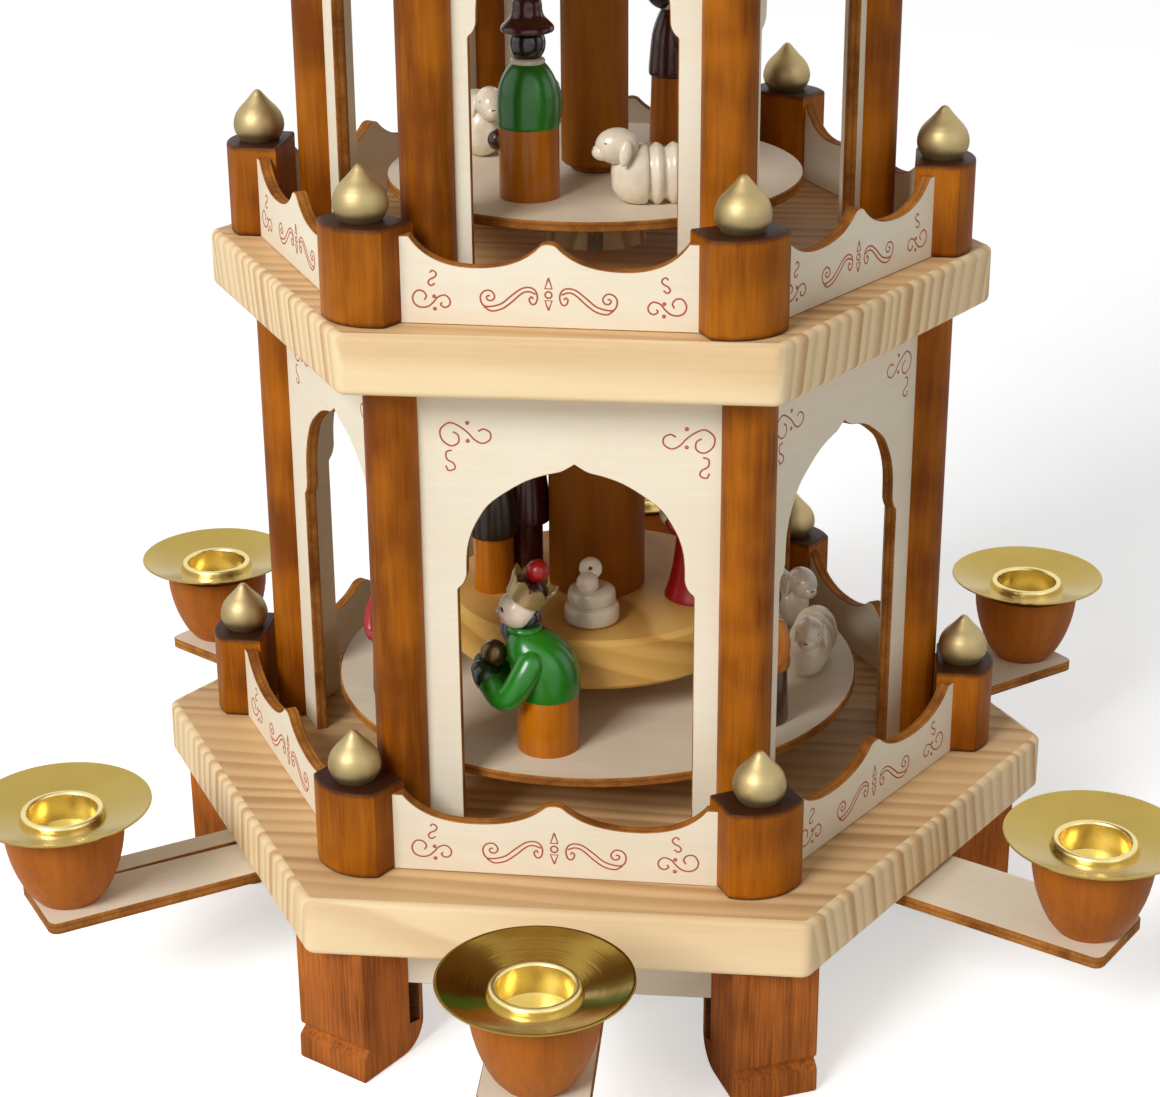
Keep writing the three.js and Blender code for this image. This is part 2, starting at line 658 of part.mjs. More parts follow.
function angel() {
  const robe = turned([[0, 0], [6, 0], [5.2, 12], [2.6, 20], [0, 21]], 8);
  const head = ball(3.6, 0, 0, 23, 6);
  const wings = new THREE.BoxGeometry(1.6, 15, 9).translate(-3.6, 0, 15);
  return join([robe, head, wings]);
}

function at(geometry, x, y, z, about = 0) {
  return geometry.rotateZ(turn(about)).translate(x, y, z);
}

const LOWER_TABLE = tableZ(LOWER) + TABLE_THICK;
const MIDDLE_TABLE = tableZ(MIDDLE) + TABLE_THICK;
const UPPER_TABLE = tableZ(UPPER) + TABLE_THICK;
const SINK = 0.2; // how far a glued figure reaches into its turntable

// Materials
const paint = (color, roughness, metalness = 0) =>
  new THREE.MeshStandardMaterial({ color, roughness, metalness });
const pine = () => paint(0xdcb478, 0.6);
const stained = () => paint(0xa85a1c, 0.42);
const whitePly = () => paint(0xe9dcc4, 0.62);
const brass = () => paint(0xb89a52, 0.32, 1);
const steel = () => paint(0x9a9a98, 0.3, 1);

// The assembly
const pyramid = new THREE.Group();
pyramid.name = "christmas_pyramid";
const frame = new THREE.Group();
const wheel = new THREE.Group();
pyramid.add(frame, wheel);

function add(group, name, geometry, material) {
  const mesh = new THREE.Mesh(geometry, material);
  mesh.name = name;
  group.add(mesh);
  return mesh;
}

add(frame, "base_plate", basePlate(), pine());
add(frame, "middle_plate", plate(MIDDLE), pine());
add(frame, "upper_plate", plate(UPPER), pine());
add(frame, "roof_plate", roofPlate(), pine());
add(frame, "apron_frame", apron(), whitePly());
for (let i = 0; i < SIDES; i++) add(frame, `leg_${i + 1}`, leg(i), stained());
for (const tier of TIERS) {
  add(frame, `arcade_${tier.name}`, arcade(tier), whitePly());
  add(frame, `gallery_${tier.name}`, gallery(tier), whitePly());
}
add(frame, "bearing_cup", bearingCup(), brass());
add(frame, "top_bush", topBush(), brass());

// Each arm turns by its play about a point on the middle line of its edge.
for (let i = 0; i < SIDES; i++) {
  const group = new THREE.Group();
  const a = edgeAngle(i);
  const swing = turn(ARM_SWINGS[i]);
  const pivot = new THREE.Vector2(Math.cos(a), Math.sin(a)).multiplyScalar(ARM_PIVOT);
  const drawn = new THREE.Vector2(Math.cos(a + swing), Math.sin(a + swing)).multiplyScalar(ARM_PIVOT);
  const out = drawn.clone().setLength(Math.abs(ARM_DRAWS[i])).multiplyScalar(Math.sign(ARM_DRAWS[i]));
  group.position.set(pivot.x - drawn.x + out.x, pivot.y - drawn.y + out.y, 0);
  group.rotation.z = a + swing;
  add(group, `candle_arm_${i + 1}`, arm(i), whitePly());
  add(group, `candle_cup_${i + 1}`, cup(), stained());
  add(group, `drip_dish_${i + 1}`, dish(), brass());
  frame.add(group);
}

add(wheel, "spindle", shaft(), steel());
add(
  wheel,
  "turntable_lower",
  turntable(LOWER, [
    at(robed(40, 5.6, -0.5), -51, -24, LOWER_TABLE - SINK, 90),
    at(sheep(), 56, -4, LOWER_TABLE - SINK, 80),
    at(sheep(), 50, 28, LOWER_TABLE - SINK, 120),
    at(robed(40, 7, -1), 45, -31, LOWER_TABLE - SINK, 60),
  ]),
  whitePly(),
);
add(
  wheel,
  "turntable_middle",
  turntable(MIDDLE, [
    at(robed(46, 6, -1), 17, 32, MIDDLE_TABLE - SINK, 20),
    at(sheep(), -30, 12, MIDDLE_TABLE - SINK, 105),
  ]),
  whitePly(),
);
add(
  wheel,
  "turntable_upper",
  turntable(
    UPPER,
    [0, 1, 2].map((i) => {
      const about = 30 + 120 * i;
      return at(angel().translate(24, 0, 0), 0, 0, UPPER_TABLE - SINK, about);
    }),
  ),
  whitePly(),
);
add(wheel, "dais", dais(), pine());
for (const tier of TIERS) add(wheel, `drum_${tier.name}`, drum(tier), stained());
add(wheel, "figure_king", at(king(), -7.2, -51.5, LOWER_TABLE), paint(0x1f7a34, 0.2));
add(wheel, "figure_crib", at(crib(), 1.2, -25.5, DAIS_TOP), paint(0xead9bc, 0.3));
add(wheel, "figure_cloaked", at(cloakedPair(), -26.6, -6.3, DAIS_TOP), paint(0x5a1f18, 0.25));
add(wheel, "figure_red_gown", at(gowned(), 27, -6.5, DAIS_TOP), paint(0xb01a1e, 0.2));
add(wheel, "figure_shepherd", at(shepherd(), -12.8, -28.5, MIDDLE_TABLE), paint(0x2b7a36, 0.25));
add(wheel, "figure_sheep", at(sheep(), 13.5, -33, MIDDLE_TABLE, 12), paint(0xece0ca, 0.3));
add(wheel, "rotor_hub", hub(), stained());
for (let i = 0; i < BLADES; i++) {
  const paddle = add(wheel, `blade_${i + 1}`, blade(), paint(0xead8b4, 0.6));
  paddle.position.z = HUB_MIDDLE;
  paddle.rotation.z = turn((360 / BLADES) * i);
}

export default pyramid;
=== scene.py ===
"""The looks of a wooden Christmas pyramid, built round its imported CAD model.

Sizes in the shapes are millimetres and become metres when a mesh is made.
Sides are counted round the axis from the edge at 30 degrees, and corners from the one on +X.
"""

import math

import bpy
from bpy.props import FloatProperty, FloatVectorProperty, IntProperty, PointerProperty
from mathutils import Euler, Matrix, Vector


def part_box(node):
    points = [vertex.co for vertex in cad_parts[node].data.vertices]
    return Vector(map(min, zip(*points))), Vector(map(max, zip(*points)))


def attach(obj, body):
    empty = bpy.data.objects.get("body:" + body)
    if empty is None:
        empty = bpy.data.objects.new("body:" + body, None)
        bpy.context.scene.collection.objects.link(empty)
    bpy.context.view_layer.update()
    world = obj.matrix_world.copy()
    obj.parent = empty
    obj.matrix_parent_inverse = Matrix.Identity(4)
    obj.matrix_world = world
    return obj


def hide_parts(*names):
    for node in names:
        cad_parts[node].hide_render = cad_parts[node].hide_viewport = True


bl_info = {
    "name": "Christmas Pyramid",
    "version": (1, 0, 0),
    "blender": (4, 5, 0),
    "location": "View3D > Sidebar > Pyramid",
    "description": "A six-sided candle pyramid with arcades, galleries, figures and a paddle wheel",
    "category": "Add Mesh",
}

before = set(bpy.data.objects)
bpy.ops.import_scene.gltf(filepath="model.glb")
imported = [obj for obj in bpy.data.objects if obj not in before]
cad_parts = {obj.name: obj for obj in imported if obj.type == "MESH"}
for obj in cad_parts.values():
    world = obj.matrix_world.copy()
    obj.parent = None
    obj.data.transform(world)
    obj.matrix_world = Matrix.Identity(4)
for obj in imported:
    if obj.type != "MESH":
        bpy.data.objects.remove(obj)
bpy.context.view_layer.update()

MM = 0.001
SIDES = 6
SIDE_STEP = math.radians(60)
FIRST_SIDE = math.radians(30)
PLY = 3


def foot(node):
    """The lowest height of a CAD node, in millimetres."""
    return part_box(node)[0].z / MM


def top(node):
    """The highest height of a CAD node, in millimetres."""
    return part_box(node)[1].z / MM


# Sizes of each storey. corner, columns, posts, rail and table are distances from the axis.
# arches is how far each opening sits off the middle of its side, slip and twist how far the
# whole arcade is glued off the middle, in millimetres and degrees, skew how far the gallery is.
STOREYS = {
    "lower": {
        "plate": "base_plate", "over": "middle_plate", "corner": 119, "columns": 82.5,
        "opening": 27.8, "spring": 68, "rise": 32.3, "posts": 95.3, "rail": 86.8,
        "table": 69, "drum": 12.6, "scroll": 1.0, "arches": (0, 0, 0, 2.3, 1.2, -0.2),
        "slip": 1, "twist": 0, "skew": -1.2,
    },
    "middle": {
        "plate": "middle_plate", "over": "upper_plate", "corner": 99, "columns": 67.8,
        "opening": 23.2, "spring": 61, "rise": 26.3, "posts": 83.8, "rail": 77.3,
        "table": 51.7, "drum": 8.3, "scroll": 0.82, "arches": (0, 0, 0, 1.8, -0.7, 1.4),
        "slip": 0, "twist": 1.9, "skew": -2,
    },
    "upper": {
        "plate": "upper_plate", "over": "roof_plate", "corner": 80, "columns": 53.7,
        "opening": 17, "spring": 51, "rise": 22, "posts": 66.3, "rail": 61,
        "table": 38, "drum": 6, "scroll": 0.66, "arches": (0, 0, 0, 0, 0, 0),
        "slip": 0, "twist": 0, "skew": 0,
    },
}
ROOF_CORNER = 66
PANEL_OUT = 1
TABLE_LIFT = 15
TABLE_THICK = 2.5
ARM_PIVOT = 60
ARM_SWINGS = (9.6, 0, -4.3, 4.5, 0.7, 0.7)
ARM_DRAWS = (0, 0, 0, 0, 0, -2.4)
DISH_RING = 148


def tint(red, green, blue):
    """A colour as a screen shows it, 0 to 255, in Blender's linear values."""
    return tuple(
        c / 12.92 if c <= 0.04045 else ((c + 0.055) / 1.055) ** 2.4
        for c in (red / 255, green / 255, blue / 255)
    )


def colour(name, text, red, green, blue):
    return FloatVectorProperty(
        name=name, description=text, subtype="COLOR", size=3, min=0, max=1,
        default=tint(red, green, blue),
    )


def length(name, text, millimetres):
    return FloatProperty(
        name=name, description=text, subtype="DISTANCE", unit="LENGTH", min=0,
        default=millimetres * MM, precision=5,
    )


class PyramidColours(bpy.types.PropertyGroup):
    """Colours of the woods, paints and metals."""

    pine_light: colour("Pine, light", "Early wood of the plates", 248, 222, 176)
    pine_dark: colour("Pine, dark", "Late wood of the plates", 200, 150, 94)
    stain_light: colour("Stain, light", "Light streaks of the honey-brown stain", 186, 108, 14)
    stain_dark: colour("Stain, dark", "Dark streaks of the honey-brown stain", 120, 60, 2)
    leg_light: colour("Legs, light", "Light streaks of the legs", 196, 112, 44)
    leg_dark: colour("Legs, dark", "Dark streaks of the legs", 84, 36, 8)
    ply_light: colour("Plywood, light", "Face of the pale plywood", 244, 235, 213)
    ply_dark: colour("Plywood, dark", "Faint streaks of the pale plywood", 232, 216, 188)
    burnt_light: colour("Burnt edge, light", "Cut edge of the plywood where it is least burnt", 198, 130, 56)
    burnt_dark: colour("Burnt edge, dark", "Cut edge of the plywood where it is most burnt", 116, 64, 22)
    scroll: colour("Scrollwork", "Fine lines on the panels and rails", 178, 84, 48)
    brass: colour("Brass", "Drip dishes", 188, 162, 84)
    socket: colour("Polished brass", "Candle sockets", 242, 224, 158)
    gold: colour("Gilding", "Finials on the posts", 184, 164, 118)


class PyramidSizes(bpy.types.PropertyGroup):
    """Sizes of the small details."""

    line_width: length("Line width", "Width of the scrollwork's lines", 0.85)
    line_rise: length("Line height", "How far the scrollwork stands out of the wood", 0.12)
    plate_round: length("Plate rounding", "Radius of the plates' rims", 1.7)
    ply_ease: length("Plywood easing", "Radius of the plywood's rims", 0.22)
    facets: IntProperty(
        name="Facets", description="Facets round a turned piece", default=64, min=12, max=128
    )


# Shapes


class Shape:
    """Points in millimetres with faces, and the finish of each face."""

    def __init__(self):
        self.points, self.grain, self.faces, self.finishes = [], [], [], []

    def add(self, points, faces, finishes):
        start = len(self.points)
        self.points += [Vector(p) for p in points]
        self.grain += [Vector(p) for p in points]
        self.faces += [tuple(start + i for i in face) for face in faces]
        self.finishes += finishes
        return self

    def joined(self, *others):
        for other in others:
            start = len(self.points)
            self.points += other.points
            self.grain += other.grain
            self.faces += [tuple(start + i for i in face) for face in other.faces]
            self.finishes += other.finishes
        return self

    def placed(self, matrix):
        self.points = [matrix @ p for p in self.points]
        return self

    def moved(self, x=0.0, y=0.0, z=0.0, turn=(0, 0, 0)):
        angles = Euler([math.radians(a) for a in turn])
        return self.placed(Matrix.Translation((x, y, z)) @ angles.to_matrix().to_4x4())

    def bent(self, rule):
        self.points = [Vector(rule(p)) for p in self.points]
        return self

    def regrained(self):
        """The grain follows the shape as it stands now."""
        self.grain = [p.copy() for p in self.points]
        return self


def through(points, steps=5):
    """A smooth line through the points."""
    line = [Vector(p) for p in points]
    ends = [2 * line[0] - line[1]] + line + [2 * line[-1] - line[-2]]
    smooth = []
    for a, b, c, d in zip(ends, ends[1:], ends[2:], ends[3:]):
        for k in range(steps):
            t = k / steps
            smooth.append(
                0.5 * (2 * b + (c - a) * t + (2 * a - 5 * b + 4 * c - d) * t**2
                       + (3 * b - a - 3 * c + d) * t**3)
            )
    return smooth + [line[-1]]


def arc(x, y, radius, start, end, steps):
    """Points of a circle's arc; the angles are in degrees."""
    angles = [math.radians(start + (end - start) * k / steps) for k in range(steps + 1)]
    return [Vector((x + radius * math.cos(a), y + radius * math.sin(a))) for a in angles]


def turned(profile, finish, facets=0):
    """A solid turned about Z. The profile runs up the outside; off the axis it closes on itself."""
    count = facets or bpy.context.scene.pyramid_sizes.facets
    points, rings, faces, finishes = [], [], [], []
    for radius, height in profile:
        if radius < 1e-6:
            rings.append([len(points)] * count)
            points.append((0, 0, height))
            continue
        rings.append([len(points) + i for i in range(count)])
        for i in range(count):
            a = 2 * math.pi * i / count
            points.append((radius * math.cos(a), radius * math.sin(a), height))
    if profile[0][0] > 1e-6:
        rings.append(rings[0])
    for k, (low, high) in enumerate(zip(rings, rings[1:])):
        for i in range(count):
            j = (i + 1) % count
            corners = [low[i], low[j], high[j], high[i]]
            face = [c for n, c in enumerate(corners) if c not in corners[:n]]
            if len(face) > 2:
                faces.append(face)
                finishes.append(finish if isinstance(finish, str) else finish[k])
    return Shape().add(points, faces, finishes)


def slab(outline, thick, face, edge, ease=None, steps=1, bore=0.0, depth=0.0):
    """A board lying on XY with rounded rims. The outline runs counterclockwise."""
    ease = bpy.context.scene.pyramid_sizes.ply_ease / MM if ease is None else ease
    count = len(outline)
    inward = []
    for i, here in enumerate(outline):
        before = (here - outline[i - 1]).normalized()
        after = (outline[(i + 1) % count] - here).normalized()
        normal = Vector((-before.y - after.y, before.x + after.x))
        share = max(0.4, 1 + before.dot(after))
        inward.append(normal / share)
    rims = []
    for k in range(steps + 1):
        a = 0.5 * math.pi * k / steps
        rims.append((ease * (1 - math.sin(a)), ease * (1 - math.cos(a))))
    rims += [(inset, thick - height) for inset, height in reversed(rims)]
    points, rings = [], []
    for inset, height in rims:
        rings.append([len(points) + i for i in range(count)])
        points += [(*(p + n * inset), height) for p, n in zip(outline, inward)]
    faces, finishes = [], []

    def band(low, high, finish):
        for i in range(count):
            j = (i + 1) % count
            faces.append([low[i], low[j], high[j], high[i]])
            finishes.append(finish)

    for low, high in zip(rings, rings[1:]):
        band(low, high, edge)
    if bore:
        hole = []
        for height in (thick, thick - depth):
            hole.append([len(points) + i for i in range(count)])
            for p in outline:
                points.append((*(p.normalized() * bore), height))
        band(rings[-1], hole[0], face)
        band(hole[0], hole[1], edge)
        if depth < thick:
            faces.append(hole[1])
            finishes.append(face)
        else:
            band(hole[1], rings[0], face)
    else:
        faces.append(rings[-1])
        finishes.append(face)
    if depth < thick or not bore:
        faces.append(rings[0][::-1])
        finishes.append(face)
    return Shape().add(points, faces, finishes)


def upright(shape, face):
    """Stands a slab up: its outline becomes across and height, and its front lies at that distance."""
    front = max(p.z for p in shape.points)
    return shape.bent(lambda p: (face - front + p.z, p.x, p.y))


def tube(path, radii, finish, facets=20):
    """A rounded rod along a path, with a radius for each point."""
    line = [Vector(p) for p in path]
    ways = [(line[min(i + 1, len(line) - 1)] - line[max(i - 1, 0)]).normalized() for i in range(len(line))]
    side = ways[0].orthogonal().normalized()
    points, rings = [], []
    for i, (here, way) in enumerate(zip(line, ways)):
        side = (side - way * side.dot(way)).normalized()
        other = way.cross(side)
        lifts = [0]
        if i == 0:
            lifts = [-1, -0.9, -0.6, 0]
        if i == len(line) - 1:
            lifts = [0, 0.6, 0.9, 1]
        for lift in lifts:
            centre = here + way * radii[i] * lift
            reach = max(0.02, math.sqrt(1 - lift * lift)) * radii[i]
            rings.append([len(points) + k for k in range(facets)])
            for k in range(facets):
                a = 2 * math.pi * k / facets
                points.append(centre + reach * (side * math.cos(a) + other * math.sin(a)))
    faces = [rings[0][::-1], rings[-1]]
    for low, high in zip(rings, rings[1:]):
        for k in range(facets):
            j = (k + 1) % facets
            faces.append([low[k], low[j], high[j], high[k]])
    return Shape().add(points, faces, [finish] * len(faces))


def ball(radius, x, y, z, finish, stretch=(1, 1, 1), facets=28):
    profile = [(p.x if abs(p.x) > 1e-6 else 0, p.y) for p in arc(0, 0, radius, -90, 90, facets // 2)]
    shape = turned(profile, finish, facets)
    return shape.bent(lambda p: (p.x * stretch[0], p.y * stretch[1], p.z * stretch[2])).moved(x, y, z)


def mesh_of(shape, name):
    """The shape as a mesh in metres, with its finishes and its grain."""
    mesh = bpy.data.meshes.new(name)
    mesh.from_pydata([p * MM for p in shape.points], [], shape.faces)
    kinds = sorted(set(shape.finishes))
    for kind in kinds:
        mesh.materials.append(finish(kind))
    mesh.polygons.foreach_set("material_index", [kinds.index(f) for f in shape.finishes])
    mesh.shade_smooth()
    mesh.set_sharp_from_angle(angle=math.radians(38))
    grain = mesh.attributes.new("grain", "FLOAT_VECTOR", "POINT")
    grain.data.foreach_set("vector", [c * MM for p in shape.grain for c in p])
    edge = mesh.attributes.new("edge", "BOOLEAN", "FACE")
    edge.data.foreach_set("value", [f in EDGES for f in shape.finishes])
    return mesh


def shown(name, mesh, body, nodes=()):
    """An object for the mesh that rides on a body and stands for CAD nodes."""
    piece = bpy.data.objects.new(name, mesh)
    bpy.context.scene.collection.objects.link(piece)
    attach(piece, body)
    if nodes:
        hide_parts(*nodes)
    return piece


def made(shape, name, body, nodes=()):
    return shown(name, mesh_of(shape, name), body, nodes)


# Node trees


def put(tree, kind, inputs=None, **settings):
    """A node with its settings; an input is a value or another node's socket."""
    node = tree.nodes.new(kind)
    for key, value in settings.items():
        setattr(node, key, value)
    for key, value in (inputs or {}).items():
        if isinstance(value, bpy.types.NodeSocket):
            tree.links.new(value, node.inputs[key])
        else:
            node.inputs[key].default_value = value
    return node


def calc(tree, operation, *values):
    """A Math node's result."""
    return put(tree, "ShaderNodeMath", dict(enumerate(values)), operation=operation).outputs[0]


def socket(tree, way, label, kind, value=None):
    made_socket = tree.interface.new_socket(label, in_out=way, socket_type=kind)
    if value is not None:
        made_socket.default_value = value
    return made_socket


def ring_tree():
    """Repeats the geometry round the axis at even steps."""
    tree = bpy.data.node_groups.new("Round the axis", "GeometryNodeTree")
    socket(tree, "INPUT", "Geometry", "NodeSocketGeometry")
    socket(tree, "INPUT", "Count", "NodeSocketInt", SIDES)
    socket(tree, "INPUT", "Start", "NodeSocketFloat", 0.0)
    socket(tree, "INPUT", "Step", "NodeSocketFloat", SIDE_STEP)
    socket(tree, "INPUT", "Reach", "NodeSocketFloat", 0.0)
    socket(tree, "INPUT", "Slide", "NodeSocketFloat", 0.0)
    socket(tree, "INPUT", "Face Finish", "NodeSocketMaterial")
    socket(tree, "INPUT", "Edge Finish", "NodeSocketMaterial")
    socket(tree, "OUTPUT", "Geometry", "NodeSocketGeometry")
    given = tree.nodes.new("NodeGroupInput").outputs
    index = put(tree, "GeometryNodeInputIndex").outputs[0]
    about = calc(tree, "MULTIPLY_ADD", index, given["Step"], given["Start"])
    cos, sin = calc(tree, "COSINE", about), calc(tree, "SINE", about)
    across = calc(tree, "MULTIPLY", given["Slide"], -1.0)
    x = calc(tree, "MULTIPLY_ADD", given["Reach"], cos, calc(tree, "MULTIPLY", across, sin))
    slid = calc(tree, "MULTIPLY", given["Slide"], cos)
    y = calc(tree, "MULTIPLY_ADD", given["Reach"], sin, slid)
    place = put(tree, "ShaderNodeCombineXYZ", {0: x, 1: y}).outputs[0]
    points = put(tree, "GeometryNodePoints", {"Count": given["Count"], "Position": place})
    turn = put(tree, "ShaderNodeCombineXYZ", {2: about}).outputs[0]
    copies = put(
        tree, "GeometryNodeInstanceOnPoints",
        {"Points": points.outputs[0], "Instance": given["Geometry"], "Rotation": turn},
    )
    number = put(
        tree, "GeometryNodeStoreNamedAttribute",
        {"Geometry": copies.outputs[0], "Name": "copy", "Value": index},
        data_type="FLOAT", domain="INSTANCE",
    )
    real = put(tree, "GeometryNodeRealizeInstances", {"Geometry": number.outputs[0]})
    edge = put(tree, "GeometryNodeInputNamedAttribute", {"Name": "edge"}, data_type="BOOLEAN")
    faced = put(
        tree, "GeometryNodeSetMaterial",
        {"Geometry": real.outputs[0], "Material": given["Face Finish"]},
    )
    edged = put(
        tree, "GeometryNodeSetMaterial",
        {"Geometry": faced.outputs[0], "Selection": edge.outputs[0], "Material": given["Edge Finish"]},
    )
    put(tree, "NodeGroupOutput", {0: edged.outputs[0]})
    return tree


def line_tree():
    """Turns drawn strokes into raised lines."""
    tree = bpy.data.node_groups.new("Raised lines", "GeometryNodeTree")
    socket(tree, "INPUT", "Geometry", "NodeSocketGeometry")
    socket(tree, "INPUT", "Line Width", "NodeSocketFloat", 0.0005)
    socket(tree, "INPUT", "Finish", "NodeSocketMaterial")
    socket(tree, "OUTPUT", "Geometry", "NodeSocketGeometry")
    given = tree.nodes.new("NodeGroupInput").outputs
    strokes = put(tree, "GeometryNodeMeshToCurve", {"Mesh": given["Geometry"]})
    half = calc(tree, "MULTIPLY", given["Line Width"], 0.5)
    section = put(tree, "GeometryNodeCurvePrimitiveCircle", {"Resolution": 6, "Radius": half})
    lines = put(
        tree, "GeometryNodeCurveToMesh",
        {"Curve": strokes.outputs[0], "Profile Curve": section.outputs[0], "Fill Caps": True},
    )
    real = put(tree, "GeometryNodeRealizeInstances", {"Geometry": lines.outputs[0]})
    done = put(
        tree, "GeometryNodeSetMaterial",
        {"Geometry": real.outputs[0], "Material": given["Finish"]},
    )
    put(tree, "NodeGroupOutput", {0: done.outputs[0]})
    return tree


def tree_named(name, maker):
    return bpy.data.node_groups.get(name) or maker()


def with_nodes(piece, tree, **inputs):
    """Adds a Geometry Nodes modifier and sets its inputs by their names' identifiers."""
    modifier = piece.modifiers.new(tree.name, "NODES")
    modifier.node_group = tree
    for item in tree.interface.items_tree:
        key = item.name.lower().replace(" ", "_")
        if item.item_type == "SOCKET" and item.in_out == "INPUT" and key in inputs:
            modifier[item.identifier] = inputs[key]
    return modifier


def settled(piece):
    """The piece's evaluated mesh, and the piece itself is gone."""
    graph = bpy.context.evaluated_depsgraph_get()
    graph.update()
    result = piece.evaluated_get(graph)
    mesh = bpy.data.meshes.new_from_object(result, preserve_all_data_layers=True, depsgraph=graph)
    bpy.data.objects.remove(piece)
    return mesh


def ring(mesh, name, body, nodes, face, edge, reach=0.0, start=0.0, count=SIDES, slide=0.0,
         raised=None):
    """Repeats a mesh round the axis and shows it as one piece."""
    source = bpy.data.objects.new(name + "_one", mesh)
    bpy.context.scene.collection.objects.link(source)
    if raised:
        with_nodes(source, tree_named("Raised lines", line_tree), line_width=raised, finish=finish(face))
    with_nodes(
        source, tree_named("Round the axis", ring_tree), count=count, start=start,
        reach=reach * MM, slide=slide * MM, face_finish=finish(face), edge_finish=finish(edge),
    )
    return shown(name, settled(source), body, nodes)


# Finishes


def shader_group(name, inputs, outputs):
    """An empty shader node group with named inputs and outputs."""
    tree = bpy.data.node_groups.new(name, "ShaderNodeTree")
    kinds = {float: "NodeSocketFloat", tuple: "NodeSocketVector", list: "NodeSocketColor"}
    for label, value in inputs.items():
        default = tuple(value) if isinstance(value, list) else value
        socket(tree, "INPUT", label, kinds[type(value)], default)
    for label, value in outputs.items():
        socket(tree, "OUTPUT", label, kinds[type(value)])
    given = tree.nodes.new("NodeGroupInput").outputs
    return tree, given, tree.nodes.new("NodeGroupOutput")


WHITE = [1.0, 1.0, 1.0, 1.0]
NOWHERE = (0.0, 0.0, 0.0)


def blend_colour(tree, share, first, second, mode="MIX"):
    node = put(tree, "ShaderNodeMix", {0: share}, data_type="RGBA", blend_type=mode)
    for index, value in ((6, first), (7, second)):
        if isinstance(value, bpy.types.NodeSocket):
            tree.links.new(value, node.inputs[index])
        else:
            node.inputs[index].default_value = value
    return node.outputs[2]


def steps_between(tree, value, low, high):
    node = put(
        tree, "ShaderNodeMapRange", {"Value": value, "From Min": low, "From Max": high},
        interpolation_type="SMOOTHSTEP",
    )
    return node.outputs[0]


def piece_space():
    """Each piece's own space in metres, moved on for every copy of a repeated piece."""
    tree, _, out = shader_group("Piece space", {}, {"Vector": NOWHERE, "Own": NOWHERE})
    grain = put(tree, "ShaderNodeAttribute", attribute_name="grain").outputs["Vector"]
    copy = put(tree, "ShaderNodeAttribute", attribute_name="copy").outputs["Fac"]
    shift = put(tree, "ShaderNodeVectorMath", {0: (0.31, 0.17, 0.47), "Scale": copy}, operation="SCALE")
    both = put(tree, "ShaderNodeVectorMath", {0: grain, 1: shift.outputs[0]}, operation="ADD")
    tree.links.new(both.outputs[0], out.inputs["Vector"])
    tree.links.new(grain, out.inputs["Own"])
    return tree


def wood_streaks():
    """Streaks of stained or pale wood, drawn out along the grain."""
    tree, given, out = shader_group(
        "Wood streaks",
        {"Vector": NOWHERE, "Stretch": (1.0, 1.0, 0.06), "Streaks": 160.0, "Cloud": 22.0,
         "Fibres": 0.25, "Light": WHITE, "Dark": WHITE, "Contrast": 1.0},
        {"Color": WHITE, "Height": 1.0, "Roughness": 1.0},
    )
    drawn = put(
        tree, "ShaderNodeVectorMath", {0: given["Vector"], 1: given["Stretch"]}, operation="MULTIPLY"
    ).outputs[0]
    streaks = put(
        tree, "ShaderNodeTexNoise",
        {"Vector": drawn, "Scale": given["Streaks"], "Detail": 5.0, "Roughness": 0.62},
    ).outputs["Fac"]
    fibres = put(
        tree, "ShaderNodeTexNoise",
        {"Vector": drawn, "Scale": calc(tree, "MULTIPLY", given["Streaks"], 6.0), "Detail": 2.0},
    ).outputs["Fac"]
    cloud = put(
        tree, "ShaderNodeTexNoise", {"Vector": given["Vector"], "Scale": given["Cloud"], "Detail": 2.0}
    ).outputs["Fac"]
    toned = calc(tree, "MULTIPLY_ADD", cloud, 0.8, calc(tree, "MULTIPLY", streaks, 0.55))
    toned = calc(tree, "MULTIPLY_ADD", calc(tree, "SUBTRACT", fibres, 0.5), given["Fibres"], toned)
    share = steps_between(tree, toned, 0.375, 0.975)
    share = calc(tree, "MULTIPLY", share, given["Contrast"])
    tree.links.new(blend_colour(tree, share, given["Light"], given["Dark"]), out.inputs["Color"])
    height = calc(tree, "MULTIPLY_ADD", fibres, 0.6, calc(tree, "MULTIPLY", streaks, 0.4))
    tree.links.new(height, out.inputs["Height"])
    tree.links.new(calc(tree, "MULTIPLY_ADD", fibres, 0.16, 0.92), out.inputs["Roughness"])
    return tree


